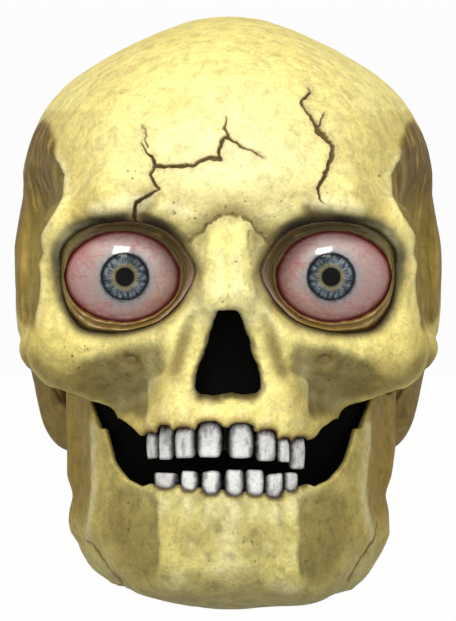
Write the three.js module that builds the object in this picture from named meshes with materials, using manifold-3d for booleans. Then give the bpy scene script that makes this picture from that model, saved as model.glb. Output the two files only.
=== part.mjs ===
// A moulded latex skull mask: a cranium shell and a jaw shell that swings on two side pivots,
// with glass-look eyes, separate teeth, foam pads and an elastic harness.
// Millimetres, +Z up, the face looks along -Y and +X is the wearer's left.
// Shapes are laid out from the underside of the chin (z = 0) and the open rear rim (y = 0);
// the group at the end moves the origin to the middle of the forehead pad's rear face.

import * as THREE from "three";
import { mergeVertices } from "three/addons/utils/BufferGeometryUtils.js";
import Module from "manifold-3d";

const wasm = await Module();
wasm.setup();

// ---------------------------------------------------------------- driving dimensions

const WALL = 3; // latex wall
const GAP = 0.6; // clearance between neighbouring pieces
const LINER_GAP = 1.6; // clearance between the wall and what is glued inside it
const FOREHEAD_PAD = { y: -117, z: 225, halfWidth: 30, halfHeight: 13 };
const CROWN_PAD = { y: -56, z: 252, halfWidth: 30, halfLength: 21 };
const TEMPLE_PAD = { x: 78, y: -28, z: 203, halfLength: 14, halfHeight: 16 };
const CHIN_PAD = { y: -112, z: 20, halfWidth: 28, halfLength: 15 };
const HINGE = { y: -38, z: 122 };
const PIN_RADIUS = 3.2;
const EYE = { x: 48.6, y: -118, z: 155.8, wide: 29, high: 24, deep: 20, wall: 2, iris: 11 };
const UPPER_ARCH = { y: -102.8, wide: 43.5, deep: 41 };
const LOWER_ARCH = { y: -103, wide: 43, deep: 39 };
const TOOTH_DEPTH = 7;
const STRAP = { wide: 25, thick: 1.8, z: 165, rearY: 43 };

const COLOURS = {
  bone: 0xe9d98a,
  jawBone: 0xe2d183,
  sclera: 0xe6d6d2,
  iris: 0x6c7c8c,
  cornea: 0xdfe8ee,
  lid: 0x6b5a2a,
  retainer: 0x2b2b2b,
  tooth: 0xc4c8cc,
  toothBar: 0x141212,
  mesh: 0x121212,
  foam: 0x4a4a4e,
  strap: 0x1c1c1e,
  patch: 0xd9c878,
  steel: 0xb4b8bc,
  nylon: 0xe8e6df,
  buckle: 0x222224,
};

// ---------------------------------------------------------------- the bone forms

// Each form is a distance function: negative inside, positive outside. The right half mirrors the left.

function ball(centre, radii) {
  return (x, y, z) => {
    const dx = (x - centre[0]) / radii[0];
    const dy = (y - centre[1]) / radii[1];
    const dz = (z - centre[2]) / radii[2];
    const near = Math.hypot(dx, dy, dz) + 1e-6;
    const slope = Math.hypot(dx / radii[0], dy / radii[1], dz / radii[2]) + 1e-9;
    return (near * (near - 1)) / slope;
  };
}

function rod(from, to, startRadius, endRadius) {
  const run = [to[0] - from[0], to[1] - from[1], to[2] - from[2]];
  const runSquared = run[0] ** 2 + run[1] ** 2 + run[2] ** 2;
  return (x, y, z) => {
    const px = x - from[0];
    const py = y - from[1];
    const pz = z - from[2];
    const t = THREE.MathUtils.clamp((px * run[0] + py * run[1] + pz * run[2]) / runSquared, 0, 1);
    const away = Math.hypot(px - t * run[0], py - t * run[1], pz - t * run[2]);
    return away - (startRadius + (endRadius - startRadius) * t);
  };
}

// The lower half of a rounded bowl with straight walls above its centre.
function bowl(centre, radii) {
  const power = 2.3;
  return (x, y, z) => {
    const plan = Math.hypot((x - centre[0]) / radii[0], (y - centre[1]) / radii[1]);
    const drop = Math.max(0, centre[2] - z) / radii[2];
    return ((plan ** power + drop ** power) ** (1 / power) - 1) * 0.9 * Math.min(radii[0], radii[1]);
  };
}

const add = (blend, shape) => ({ blend, shape, hollow: false });
const cut = (blend, shape) => ({ blend, shape, hollow: true });

const CRANIUM_FORM = [
  add(1, ball([0, 0, 181], [97.5, 143, 98])), // vault
  add(22, ball([48, -20, 210], [38.5, 60, 38])), // parietal swelling
  add(24, ball([0, -64, 198], [80, 80, 70])), // frontal bone
  add(16, ball([54, 0, 146], [45.5, 76, 62])), // temporal wall
  add(10, ball([74, -4, 104], [17, 20, 31])), // mastoid
  add(14, ball([0, -92, 122], [64, 48, 50])), // upper jaw
  add(10, ball([0, -104, 87], [51, 47, 24])), // tooth ridge
  add(14, ball([62, -98, 150], [24, 26, 46])), // behind the outer rim of the orbit
  cut(7, ball([128, -72, 176], [46, 56, 58])), // temporal hollow
  add(16, rod([6, -136, 188], [52, -128, 192], 11, 9)), // brow
  add(12, rod([52, -128, 192], [78, -108, 182], 9, 7)),
  add(10, rod([78, -108, 182], [80, -106, 152], 7, 7)), // outer rim of the orbit
  add(10, rod([80, -106, 152], [76, -107, 130], 7, 9)),
  add(14, ball([66, -102, 119], [28, 23, 19])), // cheekbone
  add(14, rod([76, -107, 127], [46, -122, 122], 8, 9)), // lower rim of the orbit
  add(14, rod([46, -122, 122], [22, -133, 132], 9, 9)),
  add(12, rod([12, -134, 186], [20, -133, 138], 10, 9)), // inner rim of the orbit
  add(12, rod([20, -133, 138], [24, -134, 98], 9, 9)), // side of the nose
  add(14, rod([3, -138, 186], [4, -149, 146], 10, 7)), // nose bones
  add(12, rod([78, -98, 119], [88, -66, 121], 9, 7.5)), // cheek arch
  add(12, rod([88, -66, 121], [89, -26, 120], 7.5, 7.5)),
  cut(5, ball([48, -146, 156], [33, 25, 28])), // orbit
];

const JAW_FORM = [
  add(1, bowl([0, -40, 38], [74.5, 108, 38])), // body and branches
  add(18, ball([0, -112, 23], [50, 37, 23])), // chin
  add(8, ball([68, -54, 40], [7.5, 16, 11])), // angle
  add(10, rod([69, -58, 64], [70, -44, 110], 7, 7)), // neck of the branch
];

const JAW_CEILING = 140;

function formDistance(form, x, y, z) {
  const ax = Math.abs(x);
  let total = 1000;
  for (const { blend, shape, hollow } of form) {
    const sign = hollow ? -1 : 1;
    const a = sign * total;
    const b = shape(ax, y, z);
    const mix = THREE.MathUtils.clamp(0.5 + (0.5 * (b - a)) / blend, 0, 1);
    total = sign * (b + (a - b) * mix - blend * mix * (1 - mix));
  }
  return form === JAW_FORM ? Math.max(total, z - JAW_CEILING) : total;
}

// Walks from far outside along `heading` until the form is `depth` below its surface.
function walkIn(form, start, heading, depth) {
  const point = start.clone();
  for (let step = 0; step < 400; step += 1) {
    const left = formDistance(form, point.x, point.y, point.z) + depth;
    if (left < 0.02) break;
    point.addScaledVector(heading, Math.min(Math.max(left * 0.7, 0.05), 12));
  }
  return point;
}

// ---------------------------------------------------------------- mesh helpers

// A closed mesh from rows of points. Rows join side by side; a ring also joins its last row to its first.
function loft(rows, isRing = false) {
  const count = rows[0].length;
  const index = [];
  const last = isRing ? rows.length : rows.length - 1;
  for (let i = 0; i < last; i += 1) {
    const here = i * count;
    const there = ((i + 1) % rows.length) * count;
    for (let j = 0; j < count; j += 1) {
      const k = (j + 1) % count;
      index.push(here + j, there + j, there + k, here + j, there + k, here + k);
    }
  }
  if (!isRing) {
    const end = (rows.length - 1) * count;
    for (let j = 1; j < count - 1; j += 1) {
      index.push(0, j, j + 1, end, end + j + 1, end + j);
    }
  }
  return closedGeometry(rows.flat(), index);
}

// Gives the points and triangles as a geometry whose faces point out.
function closedGeometry(points, index) {
  let volume = 0;
  for (let i = 0; i < index.length; i += 3) {
    const [a, b, c] = [points[index[i]], points[index[i + 1]], points[index[i + 2]]];
    volume += a.dot(new THREE.Vector3().crossVectors(b, c));
  }
  const faces = volume > 0 ? index : index.slice().reverse();
  const geometry = new THREE.BufferGeometry().setFromPoints(points);
  geometry.setIndex(faces);
  geometry.computeVertexNormals();
  return geometry;
}

function toSolid(geometry) {
  const bare = geometry.clone();
  bare.deleteAttribute("normal");
  bare.deleteAttribute("uv");
  const merged = mergeVertices(bare, 1e-4);
  const vertProperties = new Float32Array(merged.attributes.position.array);
  const triVerts = new Uint32Array(merged.index.array);
  return new wasm.Manifold(new wasm.Mesh({ numProp: 3, vertProperties, triVerts }));
}

function toGeometry(solid) {
  const { vertProperties, triVerts } = solid.getMesh();
  const geometry = new THREE.BufferGeometry();
  geometry.setAttribute("position", new THREE.BufferAttribute(new Float32Array(vertProperties), 3));
  geometry.setIndex(new THREE.BufferAttribute(new Uint32Array(triVerts), 1));
  geometry.computeVertexNormals();
  return geometry;
}

function cutAway(geometry, cutters) {
  let solid = toSolid(geometry);
  for (const cutter of cutters) solid = solid.subtract(toSolid(cutter));
  return toGeometry(solid);
}

const at = (x, y, z) => new THREE.Vector3(x, y, z);
const AXIS = { x: at(1, 0, 0), y: at(0, 1, 0), z: at(0, 0, 1) };

function prism(outline, from, to, across, up, along) {
  const shape = new THREE.Shape(outline.map(([u, v]) => new THREE.Vector2(u, v)));
  const geometry = new THREE.ExtrudeGeometry(shape, { depth: to - from, bevelEnabled: false });
  geometry.translate(0, 0, from);
  geometry.applyMatrix4(new THREE.Matrix4().makeBasis(across, up, along));
  return geometry;
}

// An outline in x and z, cut through from one y to another.
function prismAlongY(outline, from, to) {
  return prism(outline, -to, -from, AXIS.x, AXIS.z, AXIS.y.clone().negate());
}

// An outline in y and z, from one x to another.
function prismAlongX(outline, from, to) {
  return prism(outline, from, to, AXIS.y, AXIS.z, AXIS.x);
}

// An outline in x and y, from one z to another.
function prismAlongZ(outline, from, to) {
  return prism(outline, from, to, AXIS.x, AXIS.y, AXIS.z);
}

function mirrored(points) {
  return [...points, ...points.filter(([x]) => x > 0).map(([x, z]) => [-x, z]).reverse()];
}

function smoothLoop(points, count) {
  const knots = points.map(([u, v]) => at(u, v, 0));
  const curve = new THREE.CatmullRomCurve3(knots, true, "centripetal");
  return curve.getSpacedPoints(count).slice(0, count).map(({ x, y }) => [x, y]);
}

const boxOutline = (u0, u1, v0, v1) => [[u0, v0], [u1, v0], [u1, v1], [u0, v1]];

function scaleLoop(loop, [cx, cz], factor) {
  return loop.map(([x, z]) => [cx + (x - cx) * factor, cz + (z - cz) * factor]);
}

// A turned piece about the x axis; the profile lists [x, radius] and closes on itself or on the axis.
function turnedAboutX(profile, centreY, centreZ, sides = 16) {
  const geometry = new THREE.LatheGeometry(profile.map(([x, r]) => new THREE.Vector2(r, x)), sides);
  geometry.rotateZ(-Math.PI / 2);
  geometry.translate(0, centreY, centreZ);
  return outward(geometry);
}

// A turned piece about the y axis, stretched in x by `stretch`; the profile lists [y, radius].
function turnedAboutY(profile, centre, stretch, sides) {
  const geometry = new THREE.LatheGeometry(profile.map(([y, r]) => new THREE.Vector2(r, y)), sides);
  geometry.scale(stretch, 1, 1);
  geometry.translate(centre.x, 0, centre.z);
  return outward(geometry);
}

// Turns a closed geometry's faces out if its profile ran the other way.
function outward(geometry) {
  geometry.deleteAttribute("normal");
  geometry.deleteAttribute("uv");
  const merged = mergeVertices(geometry, 1e-4);
  const position = merged.attributes.position;
  const points = [];
  for (let i = 0; i < position.count; i += 1) {
    points.push(new THREE.Vector3().fromBufferAttribute(position, i));
  }
  const index = [];
  for (let i = 0; i < merged.index.count; i += 3) {
    const [a, b, c] = [merged.index.getX(i), merged.index.getX(i + 1), merged.index.getX(i + 2)];
    if (a !== b && b !== c && c !== a) index.push(a, b, c);
  }
  return closedGeometry(points, index);
}

const ring = (x0, x1, inner, outer) => [[x0, inner], [x0, outer], [x1, outer], [x1, inner], [x0, inner]];
const disc = (x0, x1, outer) => [[x0, 0], [x0, outer], [x1, outer], [x1, 0]];

// ---------------------------------------------------------------- latex shells

// The skin seen from `centre`: rays fan out from straight ahead to sideways, so its rear rim is flat.
function skin(form, centre, rings, spokes) {
  const outside = [];
  const inside = [];
  const reach = 260;
  const place = (polar, turn) => {
    const sine = Math.sin(polar);
    const direction = new THREE.Vector3(sine * Math.cos(turn), -Math.cos(polar), sine * Math.sin(turn));
    if (polar === Math.PI / 2) direction.y = 0;
    const start = centre.clone().addScaledVector(direction, reach);
    const heading = direction.clone().negate();
    outside.push(walkIn(form, start, heading, 0));
    inside.push(walkIn(form, start, heading, WALL));
  };
  place(0, 0);
  for (let i = 1; i <= rings; i += 1) {
    const polar = i === rings ? Math.PI / 2 : (i / rings) * (Math.PI / 2);
    for (let j = 0; j < spokes; j += 1) place(polar, (j / spokes) * Math.PI * 2);
  }
  return closedGeometry([...outside, ...inside], skinFaces(rings, spokes, outside.length));
}

// Triangles of an outer and an inner polar grid, with the same diagonals left and right of the middle.
function skinFaces(rings, spokes, innerStart) {
  const index = [];
  const vertex = (i, j) => 1 + (i - 1) * spokes + (j % spokes);
  const both = (a, b, c) => {
    index.push(a, b, c, innerStart + a, innerStart + c, innerStart + b);
  };
  for (let j = 0; j < spokes; j += 1) {
    const isLeftHalf = j < spokes / 4 || j >= (spokes * 3) / 4;
    both(0, vertex(1, j), vertex(1, j + 1));
    for (let i = 1; i < rings; i += 1) {
      const [a, b, c, d] = [vertex(i, j), vertex(i + 1, j), vertex(i + 1, j + 1), vertex(i, j + 1)];
      if (isLeftHalf) {
        both(a, b, d);
        both(b, c, d);
      } else {
        both(a, b, c);
        both(a, c, d);
      }
    }
    const [a, b] = [vertex(rings, j), vertex(rings, j + 1)];
    index.push(a, innerStart + a, innerStart + b, a, innerStart + b, b);
  }
  return index;
}

const ORBIT_POINTS = [
  [79.4, 160], [79.2, 169], [72, 178], [60, 182.4], [46, 183.4], [31, 180], [19.5, 170], [14.4, 158.5],
  [20.5, 145], [31, 134.5], [44, 129.6], [58, 128.4], [69, 131], [76.6, 141], [78.9, 150],
];
const ORBIT = smoothLoop(ORBIT_POINTS, 30);
const ORBIT_MIDDLE = [47.5, 156];

const NOSE_POINTS = [
  [0, 140.4], [5.4, 139], [9, 130.5], [12.4, 118], [15.9, 106], [13.6, 99.4], [8, 97.6], [0, 101],
];
const NOSE = smoothLoop(mirrored(NOSE_POINTS), 24);

function craniumShell() {
  const lowerEdge = mirrored([
    [0, 83.4], [30, 83], [40, 81], [50, 88.4], [60, 91], [64, 97], [74, 100.5], [80.5, 102.8],
    [85.3, 103.4], [90.3, 108.7], [93.3, 112], [115, 112], [115, -20],
  ]);
  const underArch = [
    [-102, -20], [-102, 104], [-96, 109], [-86, 112], [-40, 112], [-32, 110], [-27, 106],
    [-25.5, 98], [-25.5, -20],
  ];
  const neck = mirrored([[66, 113], [73, 105], [73, -20]]);
  return cutAway(skin(CRANIUM_FORM, at(0, 0, 150), 19, 60), [
    prismAlongY(lowerEdge, -200, -48),
    prismAlongX(underArch, -120, 120),
    prismAlongY(neck, -60, 10),
    prismAlongY(boxOutline(-89.2, 89.2, 60, 118), -68, -24),
    prismAlongY(NOSE, -200, -100),
    prismAlongY(ORBIT, -200, -98),
    prismAlongY(ORBIT.map(([x, z]) => [-x, z]).reverse(), -200, -98),
  ]);
}

function jawShell() {
  const mouth = mirrored([
    [0, 53.6], [20, 53.6], [37.8, 57.7], [41.9, 56.3], [48.8, 59.7], [52.9, 64.5], [55.7, 68.7],
    [61.2, 89.4], [62.8, 98], [62.8, 160],
  ]);
  const branchTop = [
    [-160, 160], [-160, 84], [-100, 84], [-88, 97], [-78, 107], [-70, 107], [-63, 101], [-56, 100],
    [-50, 102.5], [-20, 102.5], [-20, 160],
  ];
  const rearEdge = [
    [-20, 120], [-28.5, 120], [-30, 104], [-36, 86], [-42, 70], [-47, 50], [-45, 34], [-52, 18],
    [-64, 8], [-64, -20], [0, -20], [0, 120],
  ];
  const neck = mirrored([[0, -99], [26, -96], [44, -84], [54, -66], [58, -46], [58, 0]]);
  return cutAway(skin(JAW_FORM, at(0, -28, 60), 14, 48), [
    prismAlongY(mouth, -200, 10),
    prismAlongX(branchTop, -120, 120),
    prismAlongX(rearEdge, -120, 120),
    prismAlongZ(neck, -30, 40),
  ]);
}

// ---------------------------------------------------------------- eyes

// Distance forward that the eye bulges at a point, as y.
function eyeSurfaceY(x, z) {
  const spread = Math.hypot((x - EYE.x) / EYE.wide, (z - EYE.z) / EYE.high);
  return EYE.y - EYE.deep * Math.sqrt(Math.max(0, 1 - spread ** 2));
}

function bulge(radius, inset) {
  const high = EYE.high - inset;
  return EYE.y - (EYE.deep - inset) * Math.sqrt(Math.max(0, 1 - (radius / high) ** 2));
}

function eyeDome() {
  const seat = EYE.iris + GAP;
  const floor = bulge(seat, 0) + 1.2;
  const profile = [[floor, 0], [floor, seat], [bulge(seat, 0), seat]];
  for (const r of [15, 19, 22]) profile.push([bulge(r, 0), r]);
  profile.push([EYE.y, EYE.high], [-112.5, EYE.high], [-112.5, EYE.high + 1.6], [-110.5, EYE.high + 1.6]);
  profile.push([-110.5, EYE.high - EYE.wall], [EYE.y, EYE.high - EYE.wall]);
  for (const r of [19, 14]) profile.push([bulge(r, EYE.wall), r]);
  profile.push([floor + EYE.wall, 9], [floor + EYE.wall, 0]);
  return turnedAboutY(profile, EYE, EYE.wide / EYE.high, 28);
}

function irisDisc() {
  const floor = bulge(EYE.iris + GAP, 0) + 0.9;
  const profile = [[floor, 0], [floor, EYE.iris], [floor - 0.8, EYE.iris], [floor - 0.8, 0]];
  return turnedAboutY(profile, EYE, 1, 20);
}

function cornea() {
  const base = bulge(EYE.iris + GAP, 0) - 0.3;
  const profile = [[base, 0], [base, EYE.iris]];
  for (const r of [9.4, 6, 3]) profile.push([base - 3.4 * (1 - (r / EYE.iris) ** 2), r]);
  profile.push([base - 3.4, 0]);
  return turnedAboutY(profile, EYE, 1, 20);
}

// The eyelids: a soft ring from the orbit's edge in to the eyeball.
function eyelidRim() {
  const lidCentre = [50, 156];
  const rows = scaleLoop(ORBIT, ORBIT_MIDDLE, 0.985).map(([x, z]) => {
    const turn = Math.atan2((z - lidCentre[1]) / 21.2, (x - lidCentre[0]) / 27);
    const innerX = lidCentre[0] + 27 * Math.cos(turn);
    const innerZ = lidCentre[1] + 21.2 * Math.sin(turn);
    const boneY = walkIn(CRANIUM_FORM, at(x, -220, z), AXIS.y, 0).y + 1;
    const ballY = eyeSurfaceY(innerX, innerZ);
    const middle = (a, b) => a + (b - a) * 0.55;
    return [
      at(x, boneY, z),
      at(middle(x, innerX), Math.min(middle(boneY, ballY), ballY) - 3, middle(z, innerZ)),
      at(innerX, ballY - 3, innerZ),
      at(innerX, ballY - 1.2, innerZ),
      at(x, boneY + 3, z),
    ];
  });
  return loft(rows, true);
}

function eyeRetainer() {
  const profile = ring(-109.9, -106.6, EYE.high - 4, EYE.high + 0.4);
  return turnedAboutY(profile, EYE, EYE.wide / EYE.high, 28);
}

// ---------------------------------------------------------------- teeth

const archY = (arch, x) => arch.y - arch.deep * Math.sqrt(1 - (x / arch.wide) ** 2);

// x of each tooth's edges, z of its root and biting edge.
const UPPER_TEETH = [
  [-40.1, -34.4, 82.4, 70.1], [-34.1, -27.1, 85.9, 69.7], [-26.5, -16.1, 84.8, 70.6],
  [-15.3, -2.9, 87.8, 70.9], [0.3, 12.7, 87, 70.6], [13.9, 23.8, 83.9, 69.2],
  [24.3, 30.4, 79.8, 68.6], [30.9, 38.2, 79.8, 65.4],
];
const LOWER_TEETH = [
  [-36.8, -25.3, 63.5, 55.7], [-23.4, -14.9, 64.3, 54.5], [-13.1, -3.6, 64.3, 52.8],
  [-1.7, 8.0, 64.9, 52.3], [8.6, 18.0, 64.9, 52.3], [18.5, 27.2, 63.2, 51.1],
  [27.7, 34.5, 63.5, 54.3],
];
const ROOT_LENGTH = 4.4;

function toothRow(arch, left, right, z, width, depth) {
  const middle = (left + right) / 2;
  const from = new THREE.Vector2(left, archY(arch, left));
  const to = new THREE.Vector2(right, archY(arch, right));
  const along = to.clone().sub(from).normalize();
  const inwardDirection = new THREE.Vector2(-along.y, along.x);
  const face = new THREE.Vector2(middle, archY(arch, middle));
  const half = (from.distanceTo(to) / 2) * width;
  const outline = [
    [-1, 0.32], [-0.72, 0.06], [0, 0], [0.72, 0.06], [1, 0.32],
    [0.82, 0.8], [0.3, 1], [-0.3, 1], [-0.82, 0.8],
  ];
  return outline.map(([u, v]) => {
    const point = face.clone().addScaledVector(along, u * half);
    point.addScaledVector(inwardDirection, v * depth + 0.2);
    return at(point.x, point.y, z);
  });
}

function tooth(arch, [left, right, gum, edge]) {
  const down = Math.sign(edge - gum);
  const height = Math.abs(edge - gum);
  const shape = [
    [-ROOT_LENGTH, 0.62, 0.7], [0, 0.78, 0.9], [height * 0.45, 0.96, 1], [height * 0.85, 0.96, 0.8],
  ];
  const rows = shape.map(([drop, width, depth]) => {
    return toothRow(arch, left, right, gum + down * drop, width, depth * TOOTH_DEPTH);
  });
  rows.push(toothRow(arch, left, right, edge, 0.82, 0.5 * TOOTH_DEPTH));
  return loft(rows);
}

// The dark strip behind the teeth that carries their roots.
function toothBar(arch, bottom, top) {
  const setBack = TOOTH_DEPTH + 1.6;
  const outer = { y: arch.y, wide: arch.wide - setBack, deep: arch.deep - setBack };
  const inner = { y: arch.y, wide: outer.wide - 4, deep: outer.deep - 4 };
  const rows = [];
  for (let i = 0; i <= 20; i += 1) {
    const turn = THREE.MathUtils.lerp(-1.25, 1.25, i / 20);
    const point = ({ y, wide, deep }, z) => at(wide * Math.sin(turn), y - deep * Math.cos(turn), z);
    rows.push([point(outer, bottom), point(outer, top), point(inner, top), point(inner, bottom)]);
  }
  return loft(rows);
}

// ---------------------------------------------------------------- linings

function noseMesh() {
  return prismAlongY(scaleLoop(NOSE, [0, 117], 1.18), -131, -129.6);
}

// A thin arc of black stretch cloth that closes the mouth behind the teeth.
function mouthScrim() {
  const rows = [];
  for (let i = 0; i <= 24; i += 1) {
    const x = THREE.MathUtils.lerp(-63, 63, i / 24);
    const y = -62 - 50 * Math.sqrt(1 - (x / 72) ** 2);
    const point = (back, z) => at(x, y + back, z);
    rows.push([point(0, 46), point(0, 98), point(1.2, 98), point(1.2, 46)]);
  }
  return loft(rows);
}

// A rounded block against the wall's inner face.
// Its other face is flat, or follows the wall if `thick` is given.
function liner(form, centre, acrossVector, upVector, outVector, halfSizes, thick = null) {
  const spokes = 16;
  const ringCount = 2;
  const far = 240;
  const onWall = [];
  const onFlat = [];
  const place = (fraction, turn) => {
    const square = Math.max(Math.abs(Math.cos(turn)), Math.abs(Math.sin(turn))) ** -0.55;
    const u = Math.cos(turn) * fraction * square * halfSizes[0];
    const v = Math.sin(turn) * fraction * square * halfSizes[1];
    const base = centre.clone().addScaledVector(acrossVector, u).addScaledVector(upVector, v);
    const start = base.clone().addScaledVector(outVector, far);
    const heading = outVector.clone().negate();
    onWall.push(walkIn(form, start, heading, WALL + LINER_GAP));
    onFlat.push(thick === null ? base : walkIn(form, start, heading, WALL + LINER_GAP + thick));
  };
  place(0, 0);
  for (let i = 1; i <= ringCount; i += 1) {
    for (let j = 0; j < spokes; j += 1) place(i / ringCount, (j / spokes) * Math.PI * 2);
  }
  return closedGeometry([...onWall, ...onFlat], skinFaces(ringCount, spokes, onWall.length));
}

function foreheadPad() {
  const { y, z, halfWidth, halfHeight } = FOREHEAD_PAD;
  return liner(CRANIUM_FORM, at(0, y, z), AXIS.x, AXIS.z, at(0, -1, 0), [halfWidth, halfHeight]);
}

function crownPad() {
  const { y, z, halfWidth, halfLength } = CROWN_PAD;
  return liner(CRANIUM_FORM, at(0, y, z), AXIS.x, AXIS.y, AXIS.z, [halfWidth, halfLength]);
}

function templePad(side) {
  const { x, y, z, halfLength, halfHeight } = TEMPLE_PAD;
  return liner(CRANIUM_FORM, at(side * x, y, z), AXIS.y, AXIS.z, at(side, 0, 0), [halfLength, halfHeight]);
}

function chinPad() {
  const { y, z, halfWidth, halfLength } = CHIN_PAD;
  return liner(JAW_FORM, at(0, y, z), AXIS.x, AXIS.y, at(0, 0, -1), [halfWidth, halfLength]);
}

// ---------------------------------------------------------------- harness

const PATCH_THICK = 1.8;

function sidePatch(side) {
  const centre = at(side * 60, -15, STRAP.z);
  return liner(CRANIUM_FORM, centre, AXIS.y, AXIS.z, at(side, 0, 0), [11, 18], PATCH_THICK);
}

function topPatch() {
  return liner(CRANIUM_FORM, at(0, -15, 240), AXIS.x, AXIS.y, AXIS.z, [15, 11], PATCH_THICK);
}

// A flat strap along a path; `wideVector` is the direction of its width.
function ribbon(path, wideVector, wide, thick, steps) {
  const curve = new THREE.CatmullRomCurve3(path, false, "centripetal");
  const rows = [];
  for (let i = 0; i <= steps; i += 1) {
    const point = curve.getPointAt(i / steps);
    const out = new THREE.Vector3().crossVectors(curve.getTangentAt(i / steps), wideVector).normalize();
    const corner = (u, v) => {
      const edge = point.clone().addScaledVector(wideVector, (u * wide) / 2);
      return edge.addScaledVector(out, (v * thick) / 2);
    };
    rows.push([corner(-1, -1), corner(1, -1), corner(1, 1), corner(-1, 1)]);
  }
  return loft(rows);
}

function rearStrap() {
  const { z, rearY } = STRAP;
  const half = [
    at(88.4, -22, z), at(88.8, -12, z), at(88.6, -2, z), at(87, 12, z), at(81, 28, z),
    at(70, 39, z), at(58, rearY, z), at(40, rearY, z), at(20, rearY, z),
  ];
  const otherHalf = half.map(({ x, y }) => at(-x, y, z)).reverse();
  return ribbon([...half, at(0, rearY, z), ...otherHalf], AXIS.z, STRAP.wide, STRAP.thick, 36);
}

function crownStrap() {
  const y = STRAP.rearY + STRAP.thick + 0.8;
  const path = [
    at(0, -24, 267), at(0, -14, 268), at(0, -2, 267.6), at(0, 12, 264), at(0, 27, 253),
    at(0, 37, 238), at(0, 43, 220), at(0, y, 204), at(0, y, 190), at(0, y, 172), at(0, y, 154),
  ];
  return ribbon(path, AXIS.x, 20, STRAP.thick, 24);
}

// A flat loop around a strap: outer and inner sizes in y and z, from one x to another.
function strapLoop(x0, x1, yRange, zRange, wall) {
  const outer = boxOutline(yRange[0] - wall, yRange[1] + wall, zRange[0] - wall, zRange[1] + wall);
  const inner = boxOutline(yRange[0], yRange[1], zRange[0], zRange[1]);
  return cutAway(prismAlongX(outer, x0, x1), [prismAlongX(inner, x0 - 1, x1 + 1)]);
}

function strapSlider() {
  const { rearY, thick, z, wide } = STRAP;
  const yRange = [rearY - thick / 2 - 0.7, rearY + thick / 2 + 0.7];
  return strapLoop(30, 46, yRange, [z - wide / 2 - 0.7, z + wide / 2 + 0.7], 2);
}

// The sewn square that joins the crown strap to the rear strap.
function strapKeeper() {
  const front = STRAP.rearY - STRAP.thick / 2 - GAP;
  const { z } = STRAP;
  const corners = mirrored([[0, z - 17], [10, z - 17], [12, z - 15], [12, z + 15], [10, z + 17]]);
  return prismAlongY(corners, front - 1.2, front);
}

// ---------------------------------------------------------------- jaw pivots and springs

const PIVOT_X = {
  cap: [73, 75.5],
  arm: [76, 78.6],
  pin: [75.8, 86.1],
  bush: [78.9, 86.1],
  plate: [86.4, 88.6],
};

function sidePiece(profile, side) {
  const geometry = turnedAboutX(profile, HINGE.y, HINGE.z);
  return side > 0 ? geometry : outward(geometry.scale(-1, 1, 1));
}

// The stiff arm inside each branch of the jaw. It steps outward to the eye that turns on the pin.
function hingeArm() {
  const [eyeInner, eyeOuter] = PIVOT_X.arm;
  const thick = eyeOuter - eyeInner;
  const stations = [
    [67.8, 86, -49, 6], [67.8, 103, -45, 6], [eyeInner, 113, -41, 6.5], [eyeInner, HINGE.z, HINGE.y, 8],
  ];
  const blade = loft(stations.map(([x, z, y, half]) => {
    return [at(x, y - half, z), at(x + thick, y - half, z), at(x + thick, y + half, z), at(x, y + half, z)];
  }));
  const eye = turnedAboutX(disc(eyeInner, eyeOuter, 8.5), HINGE.y, HINGE.z, 20);
  const hole = turnedAboutX(disc(60, 100, PIN_RADIUS + 0.4), HINGE.y, HINGE.z, 20);
  return toGeometry(toSolid(blade).add(toSolid(eye)).subtract(toSolid(hole)));
}

function jawElastic(side) {
  const x = side * 62.5;
  const path = [at(x, -76, 110), at(x, -76, 97), at(x, -77, 84), at(x, -78, 70)];
  return ribbon(path, AXIS.y, 9, 1.4, 8);
}

// ---------------------------------------------------------------- assembly

const mask = new THREE.Group();
mask.position.set(0, -FOREHEAD_PAD.y, -FOREHEAD_PAD.z);

function place(name, geometry, colour, roughness, metalness = 0) {
  const material = new THREE.MeshStandardMaterial({ color: colour, roughness, metalness });
  const mesh = new THREE.Mesh(geometry, material);
  mesh.name = name;
  mask.add(mesh);
}

function flipped(geometry) {
  return outward(geometry.clone().scale(-1, 1, 1));
}

place("cranium_shell", craniumShell(), COLOURS.bone, 0.55);
place("jaw_shell", jawShell(), COLOURS.jawBone, 0.55);
place("nose_mesh", noseMesh(), COLOURS.mesh, 0.9);
place("mouth_scrim", mouthScrim(), COLOURS.mesh, 0.95);
place("upper_tooth_bar", toothBar(UPPER_ARCH, 74, 92), COLOURS.toothBar, 0.6);
place("lower_tooth_bar", toothBar(LOWER_ARCH, 44, 60), COLOURS.toothBar, 0.6);
UPPER_TEETH.forEach((size, i) => {
  place(`upper_tooth_${i + 1}`, tooth(UPPER_ARCH, size), COLOURS.tooth, 0.3);
});
LOWER_TEETH.forEach(([left, right, edge, gum], i) => {
  place(`lower_tooth_${i + 1}`, tooth(LOWER_ARCH, [left, right, gum, edge]), COLOURS.tooth, 0.3);
});
place("forehead_pad", foreheadPad(), COLOURS.foam, 0.95);
place("crown_pad", crownPad(), COLOURS.foam, 0.95);
place("chin_pad", chinPad(), COLOURS.foam, 0.95);
place("top_strap_patch", topPatch(), COLOURS.patch, 0.7);
place("rear_strap", rearStrap(), COLOURS.strap, 0.85);
place("crown_strap", crownStrap(), COLOURS.strap, 0.85);
place("strap_keeper", strapKeeper(), COLOURS.strap, 0.85);
place("strap_slider", strapSlider(), COLOURS.buckle, 0.45);

const eyePieces = {
  eye_dome: [eyeDome(), COLOURS.sclera, 0.15],
  iris: [irisDisc(), COLOURS.iris, 0.3],
  cornea: [cornea(), COLOURS.cornea, 0.05],
  eyelid_rim: [eyelidRim(), COLOURS.lid, 0.35],
  eye_retainer: [eyeRetainer(), COLOURS.retainer, 0.6],
};

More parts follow.
